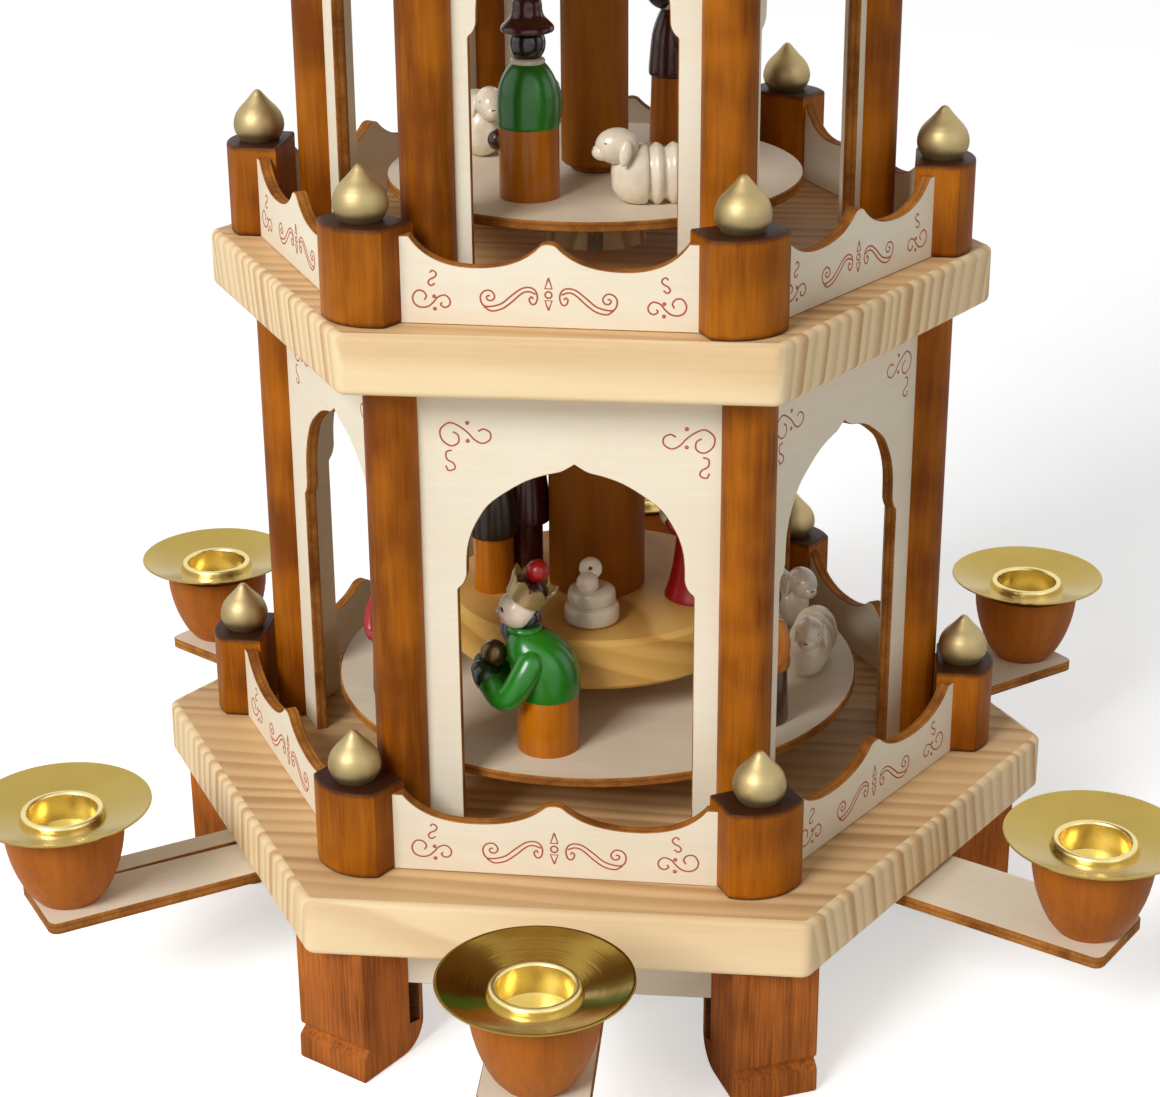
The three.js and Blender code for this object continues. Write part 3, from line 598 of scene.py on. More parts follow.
def growth_rings():
    """The year rings of a sawn board: bands across one direction that waver along the board."""
    tree, given, out = shader_group(
        "Growth rings",
        {"Vector": NOWHERE, "Across": (0.0, 1.0, 0.2), "Spacing": 0.004, "Waver": 0.003, "Shift": 0.0,
         "Light": WHITE, "Dark": WHITE},
        {"Color": WHITE, "Height": 1.0, "Roughness": 1.0},
    )
    stretched = put(
        tree, "ShaderNodeVectorMath", {0: given["Vector"], 1: (0.35, 1.0, 1.0)}, operation="MULTIPLY"
    ).outputs[0]
    slow = put(tree, "ShaderNodeTexNoise", {"Vector": stretched, "Scale": 16.0, "Detail": 1.5}).outputs["Fac"]
    across = put(
        tree, "ShaderNodeVectorMath", {0: given["Vector"], 1: given["Across"]}, operation="DOT_PRODUCT"
    ).outputs["Value"]
    wavering = calc(tree, "MULTIPLY_ADD", slow, calc(tree, "MULTIPLY", given["Waver"], 4.0), across)
    uneven = put(
        tree, "ShaderNodeTexNoise", {"W": wavering, "Scale": 95.0, "Detail": 1.0}, noise_dimensions="1D"
    ).outputs["Fac"]
    wavering = calc(tree, "MULTIPLY_ADD", uneven, 0.006, wavering)
    count = calc(tree, "DIVIDE", calc(tree, "ADD", wavering, given["Shift"]), given["Spacing"])
    part = calc(tree, "FRACT", count)
    late = steps_between(tree, part, 0.15, 0.8)
    fall = steps_between(tree, part, 1.0, 0.82)
    band = calc(tree, "MULTIPLY", late, fall)
    whole = calc(tree, "FLOOR", count)
    year = put(tree, "ShaderNodeTexWhiteNoise", {"W": whole}, noise_dimensions="1D").outputs["Value"]
    band = calc(tree, "MULTIPLY", band, calc(tree, "MULTIPLY_ADD", year, 0.6, 0.3))
    thin = put(
        tree, "ShaderNodeVectorMath", {0: given["Vector"], 1: (0.05, 1.0, 1.0)}, operation="MULTIPLY"
    ).outputs[0]
    fibres = put(tree, "ShaderNodeTexNoise", {"Vector": thin, "Scale": 900.0, "Detail": 3.0}).outputs["Fac"]
    cloud = put(tree, "ShaderNodeTexNoise", {"Vector": given["Vector"], "Scale": 18.0, "Detail": 3.0}).outputs["Fac"]
    share = calc(tree, "MULTIPLY_ADD", fibres, 0.2, calc(tree, "MULTIPLY_ADD", cloud, 0.2, -0.16))
    share = put(
        tree, "ShaderNodeMath", {0: band, 1: share}, operation="ADD", use_clamp=True
    ).outputs[0]
    tree.links.new(blend_colour(tree, share, given["Light"], given["Dark"]), out.inputs["Color"])
    height = calc(tree, "MULTIPLY_ADD", band, 0.6, calc(tree, "MULTIPLY", fibres, 0.4))
    tree.links.new(height, out.inputs["Height"])
    tree.links.new(calc(tree, "MULTIPLY_ADD", fibres, 0.2, 0.9), out.inputs["Roughness"])
    return tree


def turning_marks():
    """Fine rings that a turning tool leaves, round the piece's own axis."""
    tree, given, out = shader_group(
        "Turning marks", {"Vector": NOWHERE, "Marks": 900.0}, {"Height": 1.0, "Mask": 1.0}
    )
    parts = put(tree, "ShaderNodeSeparateXYZ", {0: given["Vector"]}).outputs
    square = calc(tree, "MULTIPLY_ADD", parts[0], parts[0], calc(tree, "MULTIPLY", parts[1], parts[1]))
    radius = calc(tree, "SQRT", square)
    flat = put(tree, "ShaderNodeCombineXYZ", {0: radius, 2: parts[2]}).outputs[0]
    marks = put(
        tree, "ShaderNodeTexNoise", {"Vector": flat, "Scale": given["Marks"], "Detail": 2.0}
    ).outputs["Fac"]
    cloud = put(tree, "ShaderNodeTexNoise", {"Vector": given["Vector"], "Scale": 60.0, "Detail": 3.0}).outputs["Fac"]
    tree.links.new(marks, out.inputs["Height"])
    tree.links.new(cloud, out.inputs["Mask"])
    return tree


def dark_joint_and_shade():
    """Darkening towards both ends of a piece's height, uneven: a dark joint at the foot and painted shade at the top.
    """
    tree, given, out = shader_group(
        "Scorch", {"Vector": NOWHERE, "Top": 0.0228, "Reach": 0.002}, {"Mask": 1.0}
    )
    height = put(tree, "ShaderNodeSeparateXYZ", {0: given["Vector"]}).outputs[2]
    rough = put(tree, "ShaderNodeTexNoise", {"Vector": given["Vector"], "Scale": 420.0, "Detail": 3.0}).outputs["Fac"]
    edge = calc(tree, "MULTIPLY", given["Reach"], calc(tree, "MULTIPLY_ADD", rough, 1.4, 0.3))
    down = calc(tree, "SUBTRACT", given["Top"], height)
    above = calc(tree, "SUBTRACT", 1.0, calc(tree, "DIVIDE", down, edge))
    below = calc(tree, "SUBTRACT", 1.0, calc(tree, "DIVIDE", height, edge))
    mask = put(
        tree, "ShaderNodeMath", {0: calc(tree, "MAXIMUM", above, below), 1: 0.0}, operation="ADD",
        use_clamp=True,
    ).outputs[0]
    tree.links.new(mask, out.inputs[0])
    return tree


def brushed_paint():
    """Thick gloss paint: slight changes of tone, and the marks of the brush."""
    tree, given, out = shader_group(
        "Brushed paint", {"Vector": NOWHERE, "Tone": WHITE}, {"Color": WHITE, "Height": 1.0, "Roughness": 1.0}
    )
    tone = put(tree, "ShaderNodeTexNoise", {"Vector": given["Vector"], "Scale": 190.0, "Detail": 3.0}).outputs["Fac"]
    drawn = put(
        tree, "ShaderNodeVectorMath", {0: given["Vector"], 1: (1.0, 1.0, 0.2)}, operation="MULTIPLY"
    ).outputs[0]
    brush = put(tree, "ShaderNodeTexNoise", {"Vector": drawn, "Scale": 900.0, "Detail": 2.0}).outputs["Fac"]
    value = calc(tree, "MULTIPLY_ADD", tone, 0.5, 0.72)
    toned = put(tree, "ShaderNodeHueSaturation", {"Value": value, "Color": given["Tone"]}).outputs[0]
    tree.links.new(toned, out.inputs["Color"])
    tree.links.new(calc(tree, "MULTIPLY_ADD", brush, 0.5, calc(tree, "MULTIPLY", tone, 0.5)), out.inputs["Height"])
    tree.links.new(calc(tree, "MULTIPLY_ADD", tone, 0.3, 0.85), out.inputs["Roughness"])
    return tree


GROUPS = {
    "Piece space": piece_space, "Wood streaks": wood_streaks, "Growth rings": growth_rings,
    "Turning marks": turning_marks, "Scorch": dark_joint_and_shade, "Brushed paint": brushed_paint,
}


def use(tree, name, **inputs):
    """Places a shader node group and sets its inputs; underscores stand for spaces."""
    node = put(tree, "ShaderNodeGroup", node_tree=tree_named(name, GROUPS[name]))
    for key, value in inputs.items():
        target = node.inputs[key.replace("_", " ").capitalize()]
        if isinstance(value, bpy.types.NodeSocket):
            tree.links.new(value, target)
        else:
            target.default_value = (*value, 1.0) if target.type == "RGBA" else value
    return node.outputs


def surface(name, **fixed):
    """A new material, its tree, its Principled shader and the piece's own space."""
    material = bpy.data.materials.new(name)
    material.use_nodes = True
    tree = material.node_tree
    shader = tree.nodes["Principled BSDF"]
    for key, value in fixed.items():
        shader.inputs[key.replace("_", " ").title().replace("Ior", "IOR")].default_value = value
    return material, tree, shader, use(tree, "Piece space")[0]


def dress(tree, shader, colour_socket, rough, height, depth, base_rough):
    """Feeds colour, roughness and bump to the shader."""
    if colour_socket is not None:
        tree.links.new(colour_socket, shader.inputs["Base Color"])
    tree.links.new(calc(tree, "MULTIPLY", rough, base_rough), shader.inputs["Roughness"])
    bump = put(tree, "ShaderNodeBump", {"Height": height, "Distance": depth, "Strength": 1.0})
    tree.links.new(bump.outputs[0], shader.inputs["Normal"])


def plank(name, light, dark, across=(0.03, 1.0, 0.16), spacing=0.0042, waver=0.0022, shift=0.0):
    def build():
        material, tree, shader, space = surface(name, specular_ior_level=0.2)
        rings = use(tree, "Growth rings", vector=space, across=across, spacing=spacing,
                    waver=waver, shift=shift, light=light(), dark=dark())
        dress(tree, shader, rings["Color"], rings["Roughness"], rings["Height"], 0.00003, 0.5)
        return material
    return build


def streaked(name, light, dark, stretch, streaks=160.0, cloud=22.0, contrast=1.0, rough=0.45,
             depth=0.00008, coat=0.0, joint_and_shade_reach=0.0, shine=0.25, fibres=0.25):
    """Stained or pale wood, which can be darkened near both ends over a height given in metres: a dark joint at the
    foot and painted shade at the top.
    """
    def build():
        material, tree, shader, space = surface(
            name, coat_weight=coat, coat_roughness=0.16, specular_ior_level=shine
        )
        wood = use(tree, "Wood streaks", vector=space, stretch=stretch, streaks=streaks, cloud=cloud,
                   light=light(), dark=dark(), contrast=contrast, fibres=fibres)
        toned = wood["Color"]
        if joint_and_shade_reach:
            own = use(tree, "Piece space")["Own"]
            mask = use(tree, "Scorch", vector=own, reach=joint_and_shade_reach)["Mask"]
            # Near-black brown at both ends: a dark joint at the foot and painted shade under the finial at the top.
            toned = blend_colour(tree, mask, toned, (*tint(52, 24, 10), 1.0))
        dress(tree, shader, toned, wood["Roughness"], wood["Height"], depth, rough)
        return material
    return build


def burnt(name, light, dark):
    """The cut edge of plywood, brown from the cutter, with its darker glue lines; the saw slots in the legs take it
    too, in a dark brown that paints the shade inside them.
    """
    def build():
        material, tree, shader, space = surface(name, specular_ior_level=0.15)
        wood = use(tree, "Wood streaks", vector=space, stretch=(1.0, 1.0, 1.0), streaks=260.0,
                   cloud=60.0, light=light(), dark=dark())
        depth = put(tree, "ShaderNodeSeparateXYZ", {0: space}).outputs[2]
        layer = calc(tree, "SINE", calc(tree, "MULTIPLY", depth, 4200.0))
        mask = calc(tree, "MULTIPLY", steps_between(tree, layer, 0.1, 1.0), 0.5)
        toned = blend_colour(tree, mask, wood["Color"], (*dark(), 1.0))
        dress(tree, shader, toned, wood["Roughness"], wood["Height"], 0.00015, 0.7)
        return material
    return build


def metal(name, tone, rough, marks=900.0, depth=0.00002, metallic=1.0):
    def build():
        material, tree, shader, space = surface(name, metallic=metallic)
        turning = use(tree, "Turning marks", vector=space, marks=marks)
        value = calc(tree, "MULTIPLY_ADD", turning["Mask"], 0.3, 0.85)
        toned = put(tree, "ShaderNodeHueSaturation", {"Value": value, "Color": (*tone(), 1.0)}).outputs[0]
        uneven = calc(tree, "MULTIPLY_ADD", turning["Mask"], 0.5, 0.75)
        dress(tree, shader, toned, uneven, turning["Height"], depth, rough)
        return material
    return build


def paint(name, tone, rough=0.22, coat=0.6, metallic=0.0):
    def build():
        material, tree, shader, space = surface(
            name, coat_weight=coat, coat_roughness=0.08, metallic=metallic
        )
        layer = use(tree, "Brushed paint", vector=space, tone=tone())
        dress(tree, shader, layer["Color"], layer["Roughness"], layer["Height"], 0.00006, rough)
        return material
    return build


def shade(red, green, blue):
    """A fixed colour, in the form in which the finishes ask for one."""
    return lambda: tint(red, green, blue)


def chosen(name):
    """A colour from the panel, read when the finish is built."""
    return lambda: tuple(getattr(bpy.context.scene.pyramid_colours, name))


PINE = (chosen("pine_light"), chosen("pine_dark"))
STAIN = (chosen("stain_light"), chosen("stain_dark"))
UP = (1.0, 1.0, 0.07)
ALONG = (0.08, 1.0, 1.0)
FINISHES = {
    "pine_base": plank("Pine, base plate", *PINE, shift=0.0016),
    "pine_middle": plank("Pine, middle plate", *PINE, across=(-0.02, 1.0, -0.2), shift=0.0004),
    "pine_upper": plank("Pine, upper plate", *PINE, across=(0.04, 1.0, 0.12), shift=0.0021),
    "pine_roof": plank("Pine, roof plate", *PINE, across=(-0.05, 1.0, 0.25)),
    # The plates' broad faces take a darker tan than their rims: partly wear, partly painted shade, as the tops take
    # less light than the fronts.
    "pine_face": plank("Pine, broad faces", shade(228, 190, 138), shade(184, 138, 90),
                       across=(0.02, 1.0, 0.1), spacing=0.0061, waver=0.004),
    "pine_dais": plank("Pine, dais", shade(226, 180, 98), shade(190, 136, 62),
                       across=(0.25, 0.12, 0.7), spacing=0.0052, waver=0.003),
    "stained": streaked("Stained wood", *STAIN, UP, cloud=48.0, contrast=1.15, shine=0.14),
    "drum": streaked("Stained drum", shade(176, 104, 24), shade(124, 68, 12), UP,
                     contrast=0.8, shine=0.1),
    # The posts darken at both ends: a dark glued joint at the foot, and painted shade under the finial at the top.
    "post": streaked("Stained post", *STAIN, UP, streaks=220.0, cloud=48.0, joint_and_shade_reach=0.0014, shine=0.14),
    "leg": streaked("Stained leg", chosen("leg_light"), chosen("leg_dark"), (1.0, 1.0, 0.04),
                    streaks=300.0, cloud=40.0, contrast=0.9, rough=0.6, depth=0.0003, shine=0.12,
                    fibres=0.5),
    # The saw slots' walls are a dark brown that paints the shade inside the narrow slots.
    "kerf": burnt("Saw cut", shade(112, 66, 30), shade(58, 30, 12)),
    "cup": streaked("Stained cup", shade(190, 108, 30), shade(136, 70, 12), UP,
                    contrast=0.9, shine=0.16),
    "skirt": streaked("Clear stained skirt", shade(206, 122, 12), shade(150, 76, 4), UP,
                      contrast=0.8, rough=0.3, coat=0.4, shine=0.15),
    "ply": streaked("Pale plywood", chosen("ply_light"), chosen("ply_dark"), ALONG, streaks=300.0,
                    cloud=30.0, contrast=0.55, rough=0.62, depth=0.00005),
    "table": streaked("Turntable plywood", shade(232, 218, 194), shade(212, 194, 166), ALONG,
                      streaks=300.0, cloud=30.0, contrast=0.6, rough=0.5, depth=0.00005),
    "lime": streaked("Limewood", shade(232, 208, 164), shade(206, 172, 122), ALONG,
                     streaks=220.0, contrast=0.8, rough=0.55),
    "burnt": burnt("Burnt edge", chosen("burnt_light"), chosen("burnt_dark")),
    "char": burnt("Charred end", shade(74, 38, 18), shade(38, 18, 10)),
    "scroll": paint("Scroll lines", chosen("scroll"), rough=0.6, coat=0.0),
    "brass": metal("Satin brass", chosen("brass"), 0.15, marks=1600.0, depth=0.00002),
    "socket": metal("Polished brass", chosen("socket"), 0.28, marks=500.0, depth=0.00001),
    "gold": metal("Satin gilding", chosen("gold"), 0.5, marks=1500.0),
    "steel": metal("Ground steel", shade(176, 176, 174), 0.28),
    "green": paint("Green paint", shade(26, 122, 20), rough=0.3, coat=0.35),
    "dark_green": paint("Dark green paint", shade(12, 56, 32), rough=0.3, coat=0.35),
    "red": paint("Red paint", shade(160, 14, 18), rough=0.35, coat=0.15),
    "maroon": paint("Maroon paint", shade(70, 12, 16), rough=0.28, coat=0.4),
    "black": paint("Black paint", shade(20, 16, 16)),
    "cream": paint("Cream paint", shade(236, 222, 198), rough=0.3, coat=0.4),
    "skin": paint("Pale face paint", shade(248, 228, 206), rough=0.32, coat=0.2),
    "blush": paint("Blush", shade(236, 168, 164), rough=0.5, coat=0.0),
    "grey": paint("Grey paint", shade(104, 116, 130)),
    "gilt": paint("Gilt paint", shade(190, 166, 116), rough=0.36, coat=0.2, metallic=0.7),
    "bronze": paint("Bronze paint", shade(110, 86, 48), rough=0.3, coat=0.3, metallic=0.7),
    "umber": paint("Umber paint", shade(70, 42, 20), rough=0.3, coat=0.4),
    "bark": paint("Dark brown paint", shade(46, 29, 14), rough=0.35, coat=0.3),
    "charcoal": paint("Dark grey paint", shade(58, 54, 52), rough=0.35, coat=0.3),
}
EDGES = {"burnt", "char"}


def finish(kind):
    """The material of that finish, built the first time it is asked for."""
    built = finish.built
    if kind not in built:
        built[kind] = FINISHES[kind]()
    return built[kind]


finish.built = {}


# Wooden pieces


def hexagon(corner, fillet, steps=6, between=8):
    """A hexagon with rounded corners; corner is the sharp corner's distance from the axis."""
    reach = corner - fillet / math.cos(math.radians(30))
    points = []
    for i in range(SIDES):
        a = 60 * i
        x, y = reach * math.cos(math.radians(a)), reach * math.sin(math.radians(a))
        here = arc(x, y, fillet, a - 30, a + 30, steps)
        if points:
            points += [points[-1].lerp(here[0], k / between) for k in range(1, between)]
        points += here
    points += [points[-1].lerp(points[0], k / between) for k in range(1, between)]
    return points


def bowed(start, pull, end, steps=8):
    """A curve from start to end drawn towards pull, without its first point."""
    start, pull, end = Vector(start), Vector(pull), Vector(end)
    shares = [k / steps for k in range(1, steps + 1)]
    return [start * (1 - t) ** 2 + pull * 2 * t * (1 - t) + end * t**2 for t in shares]


def round_side(shape, number):
    """Turns a shape from +X to that side."""
    return shape.placed(Matrix.Rotation(FIRST_SIDE + SIDE_STEP * number, 4, "Z"))


def plate(node, corner, grain, bore=0.0, depth=0.0):
    sizes = bpy.context.scene.pyramid_sizes
    low, high = foot(node), top(node)
    # The broad faces are worn pine with painted shade, darker than the plate's rims.
    shape = slab(
        hexagon(corner, 3.5), high - low, "pine_face", grain, sizes.plate_round / MM, 5, bore,
        depth or high - low,
    )
    return made(shape.moved(z=low), node + "_board", "frame", [node])


class AddPlates(bpy.types.Operator):
    """Adds the four six-sided pine plates"""

    bl_idname = "mesh.pyramid_plates"
    bl_label = "Plates"

    def execute(self, context):
        plate("base_plate", STOREYS["lower"]["corner"], "pine_base", bore=5.15, depth=5)
        plate("middle_plate", STOREYS["middle"]["corner"], "pine_middle", bore=13)
        plate("upper_plate", STOREYS["upper"]["corner"], "pine_upper", bore=11)
        plate("roof_plate", ROOF_CORNER, "pine_roof", bore=4.15)
        return {"FINISHED"}


def leg():
    """A foot block with a V-groove round its front, drawn from the side."""
    half, height, groove = 11.25, 36.2, 8.4
    outline = [
        (half - 0.6, height), (-half, height), (-half, 8),
        *[(p.x, p.y) for p in arc(-half + 8, 8, 8, 180, 270, 10)][1:],
        (half + 0.1, 0), (half + 0.6, 0.7), (half + 0.5, groove - 2.2), (half + 0.2, groove - 1.5),
        (half - 1.5, groove - 0.1), (half - 1.5, groove + 0.1), (half - 0.2, groove + 1.4),
        (half, groove + 2.1), (half, height - 0.6),
    ]
    width = 21
    block = slab([Vector(p) for p in outline], width, "leg", "leg", 0.5, 3)
    return block.bent(lambda p: (p.x, width / 2 - p.z, p.y)).regrained()


def sawn(block, number, name):
    """The leg's mesh with the saw's run-out below the apron in both of its side faces."""
    source = bpy.data.objects.new(name, mesh_of(block, name))
    cutters = []
    for side in (-1, 1):
        # The saw's faces pass their dark brown, painted shade for the slot, on to the cut walls.
        saw = turned([(0, -1.65), (20, -1.65), (20, 1.65), (0, 1.65)], "kerf", 96)
        saw.moved(85.66, -side * 30.33, 26.53, (0, 90, 0))
        saw.placed(Matrix.Rotation(math.radians(30 * side) + SIDE_STEP * number, 4, "Z"))
        cutters.append(bpy.data.objects.new(name + "_saw", mesh_of(saw, name + "_saw")))
    for piece in (source, *cutters):
        bpy.context.scene.collection.objects.link(piece)
    for cutter in cutters:
        cut = source.modifiers.new("Saw", "BOOLEAN")
        cut.object, cut.operation, cut.solver, cut.material_mode = cutter, "DIFFERENCE", "EXACT", "TRANSFER"
    mesh = settled(source)
    for cutter in cutters:
        bpy.data.objects.remove(cutter)
    mesh.set_sharp_from_angle(angle=math.radians(38))
    own = Matrix.Rotation(-SIDE_STEP * number, 3, "Z")
    shift = Vector((40 * number, 25 * number, 0)) * MM
    grain = mesh.attributes.get("grain") or mesh.attributes.new("grain", "FLOAT_VECTOR", "POINT")
    grain.data.foreach_set("vector", [c for v in mesh.vertices for c in own @ v.co + shift])
    return mesh


class AddFeet(bpy.types.Operator):
    """Adds the six feet, the apron between them and the board that guides the arms"""

    bl_idname = "mesh.pyramid_feet"
    bl_label = "Feet and apron"

    def execute(self, context):
        for number in range(SIDES):
            node = f"leg_{number + 1}"
            skewed = number == 5
            block = leg().moved(turn=(0, 0, -6 if skewed else 0)).moved(100.5, -2.5 if skewed else 0)
            block.placed(Matrix.Rotation(SIDE_STEP * number, 4, "Z"))
            shown(node + "_block", sawn(block, number, node), "frame", [node])
        face, high = 87.16, 16.4
        reach = face * math.tan(math.radians(30))
        outline = [
            (-reach, 0), (reach, 0), (reach, high), (17.5, high), (17.5, 12.8), (-17.5, 12.8),
            (-17.5, high), (-reach, high),
        ]
        board = upright(slab([Vector(p) for p in outline], PLY, "ply", "burnt"), 0)
        board.moved(z=foot("apron_frame"))
        ring(mesh_of(board, "apron"), "apron_boards", "frame", ["apron_frame"],
             "ply", "burnt", reach=face, start=FIRST_SIDE)
        guide = slab(hexagon(96, 8), 3.2, "ply", "burnt", bore=40, depth=3.2).moved(z=29.35)
        made(guide, "arm_guide_board", "frame", ["apron_frame"])
        return {"FINISHED"}


ARCH = (
    (0.0, 1.0), (0.05, 0.972), (0.12, 0.94), (0.234, 0.916), (0.398, 0.866), (0.577, 0.772),
    (0.723, 0.672), (0.814, 0.553), (0.869, 0.453), (0.905, 0.338), (0.916, 0.219),
    (0.92, 0.119), (0.953, 0.05), (0.993, 0.016),
)


def arch_panel(storey, number):
    """A plywood panel with its ogee opening, which stands a little off the panel's middle."""
    half = storey["columns"] / 2 - 1.8
    middle, wide = storey["arches"][number], storey["opening"]
    right = [Vector((x * wide, storey["spring"] + y * storey["rise"])) for x, y in ARCH]
    curve = through([(p.x, p.y) for p in right], 3)
    opening = [Vector((-p.x, p.y)) for p in reversed(curve)] + curve[1:]
    clear = foot(storey["over"]) - top(storey["plate"])
    outline = [Vector((half, 0)), Vector((half, clear)), Vector((-half, clear)), Vector((-half, 0))]
    outline += [Vector((middle - wide, 0)), Vector((middle - wide, storey["spring"]))]
    outline += [p + Vector((middle, 0)) for p in opening]
    outline += [Vector((middle + wide, storey["spring"])), Vector((middle + wide, 0))]
    panel = slab(outline, PLY, "ply", "burnt")
    for grain in panel.grain:
        grain += Vector((90 * number, 35 * number, 0))
    return panel


def panel_face(storey):
    return storey["columns"] * math.cos(math.radians(30)) + PANEL_OUT


def aside(piece, storey):
    """Turns and moves a finished piece of the arcade aside, as it is glued on."""
    turn = Matrix.Rotation(math.radians(storey["twist"]), 4, "Z")
    piece.data.transform(Matrix.Translation((storey["slip"] * MM, 0, 0)) @ turn)


def askew(piece, storey):
    """Turns a finished piece of the gallery, as it is glued on."""
    piece.data.transform(Matrix.Rotation(math.radians(storey["skew"]), 4, "Z"))


class AddArcades(bpy.types.Operator):
    """Adds the columns and the arched panels of all three storeys"""

    bl_idname = "mesh.pyramid_arcades"
    bl_label = "Arcades"

    def execute(self, context):
        for name, storey in STOREYS.items():
            low, high = top(storey["plate"]), foot(storey["over"])
            tall = high - low
            profile = [(0, 0), (6.0, 0), (6.4, 0.5), (6.4, tall - 0.5), (6.0, tall), (0, tall)]
            column = turned(profile, "stained").moved(z=low)
            node = "arcade_" + name
            columns = ring(mesh_of(column, name + "_column"), name + "_columns", "frame",
                           [node], "stained", "stained", reach=storey["columns"])
            aside(columns, storey)
            panels = Shape()
            for number in range(SIDES):
                panel = upright(arch_panel(storey, number), panel_face(storey)).moved(z=low)
                panels.joined(round_side(panel, number))
            aside(made(panels, name + "_arch_panels", "frame", [node]), storey)
        return {"FINISHED"}


def post_outline():
    front = arc(5.7 - 13.8 * math.cos(math.radians(44.66)), 0, 13.8, -44.66, 44.66, 18)
    return [Vector((-5, 9.7)), Vector((-5, -9.7))] + front


FINIAL = (
    (4.6, -0.3), (5.6, 1.2), (6.1, 2.2), (6.35, 3.4), (6.25, 4.8), (5.75, 6.4), (5.2, 7.3),
    (4.4, 8.3), (3.4, 9.3), (2.5, 10.3), (1.7, 11.2), (1.15, 11.9), (0.6, 12.4),
)


def rail_outline(distance):
    half = distance * math.tan(math.radians(30)) - 4
    span = half - 7
    right = [Vector((half, 20.3)), Vector((0.93 * span, 20.3))]
    right += bowed(right[-1], (0.8 * span, 13.5), (0.5 * span, 13.5), 12)
    right += bowed(right[-1], (0.2 * span, 13.5), (0.06 * span, 18.6), 12)
    right += bowed(right[-1], (0.04 * span, 19.3), (0, 19.3), 4)
    left = [Vector((-p.x, p.y)) for p in reversed(right[:-1])]
    return [Vector((-half, 0)), Vector((half, 0))] + right + left


class AddGalleries(bpy.types.Operator):
    """Adds the posts with their finials and the scalloped rails of all three storeys"""

    bl_idname = "mesh.pyramid_galleries"
    bl_label = "Galleries"

    def execute(self, context):
        for name, storey in STOREYS.items():
            low, node = top(storey["plate"]), "gallery_" + name
            post = slab(post_outline(), 22.8, "post", "post", 0.7, 3).moved(z=low)
            posts = ring(mesh_of(post, name + "_post"), name + "_posts", "frame",
                         [node], "post", "post", reach=storey["posts"])
            curve = through(FINIAL, 3)
            profile = [(0, -0.3)] + [(p.x, p.y) for p in curve] + [(0, 12.6)]
            finial = turned(profile, "gold").moved(z=low + 22.8)
            finials = ring(mesh_of(finial, name + "_finial"), name + "_finials", "frame",
                           [node], "gold", "gold", reach=storey["posts"] + 1.5)
            rail = upright(slab(rail_outline(storey["rail"]), PLY, "ply", "burnt"), 0).moved(z=low)
            rails = ring(mesh_of(rail, name + "_rail"), name + "_rails", "frame",
                         [node], "ply", "burnt", reach=storey["rail"], start=FIRST_SIDE)
            for piece in (posts, finials, rails):
                askew(piece, storey)
        return {"FINISHED"}


# The scrollwork, in millimetres on the lowest storey: across from the middle, then height.
LONG_SCROLL = (
    (14.8, -0.65), (15.4, -0.7), (15.7, -1.2), (15.3, -1.8), (14.4, -1.9), (13.7, -1.2),
    (13.8, -0.2), (14.8, 0.7), (16.2, 0.5), (17.1, -0.5), (17.2, -1.9), (16.4, -3.3),
    (14.6, -3.45), (11.9, -2.6), (9.5, -0.6), (7.0, 1.3), (4.9, 1.8), (3.4, 1.1), (2.8, -0.6),
    (3.3, -2.3), (4.3, -2.5), (4.9, -1.3), (4.3, -0.6), (3.9, -1.2),
)
LONG_UNDER = (
    (3.3, 0.1), (4.9, 0.7), (6.7, 0.2), (9.5, -2.3), (11.9, -4.0), (14.6, -4.6), (16.4, -3.5),
)
SIDE_SCROLL = (
    (-2.5, 0.6), (-2.0, 1.7), (-2.9, 2.9), (-4.5, 2.9), (-5.5, 1.3), (-5.1, -0.4), (-3.6, -1.3),
    (-1.7, -1.1), (-0.2, 0.1), (1.0, 1.5), (2.8, 2.0), (4.0, 0.8), (3.8, -0.6), (2.6, -1.2),
    (1.6, -0.5), (2.0, 0.1),
)
SMALL_SCROLL = (
    (0.6, 1.3), (0.1, 1.9), (-0.7, 1.6), (-1.0, 0.85), (-0.4, 0.1), (0.6, -0.4), (1.1, -1.3),
    (0.4, -2.0), (-0.6, -1.4),
)
PANEL_SCROLL = (
    (-3.4, 0.07), (-2.2, -0.8), (-2.2, -2.6), (-4.0, -3.4), (-6.0, -1.9), (-6.3, 0.5),
    (-4.3, 2.2), (-2.2, 1.6), (0, 0), (1.5, -1.7), (3.4, -2.6), (5.2, -1.6), (5.2, 0.1),
    (3.7, 0.9), (2.5, 0.3),
)
PANEL_SMALL = (
    (0.4, 2.5), (-0.9, 2.0), (-0.8, 0.3), (0.7, -0.7), (1.0, -2.0), (-0.5, -2.5), (-1.1, -1.3),
)


def circle_stroke(x, y, radius):
    return [(p.x, p.y) for p in arc(x, y, radius, 0, 360, 14)]


def both_sides(strokes):
    return strokes + [[(-x, y) for x, y in stroke] for stroke in strokes]


def off(stroke, x, y, size=1.0, across=1):
    return [(x + across * size * u, y + size * v) for u, v in stroke]


def smooth(stroke):
    return [(p.x, p.y) for p in through(stroke, 4)]


def rail_strokes(size, side):
    middle = [
        [(0, 4.4), (-0.9, 1.6), (0.9, 1.6), (0, 4.4)],
        circle_stroke(0, 0, 0.85),
        [(0, -4.0), (-0.9, -1.5), (0.9, -1.5), (0, -4.0)],
    ]
    middle += both_sides([smooth(LONG_SCROLL), smooth(LONG_UNDER)])
    strokes = [off(stroke, 0, 7.7, size) for stroke in middle]
    corner = [
        off(smooth(SIDE_SCROLL), -side, 5.1, size),
        off(circle_stroke(0, 1.6, 0.3), -side, 5.1, size),
        off(circle_stroke(0.1, -1.6, 0.3), -side, 5.1, size),
        off(smooth(SMALL_SCROLL), -side - 0.3, 10.8, size, -1),
    ]
    return strokes + both_sides(corner)


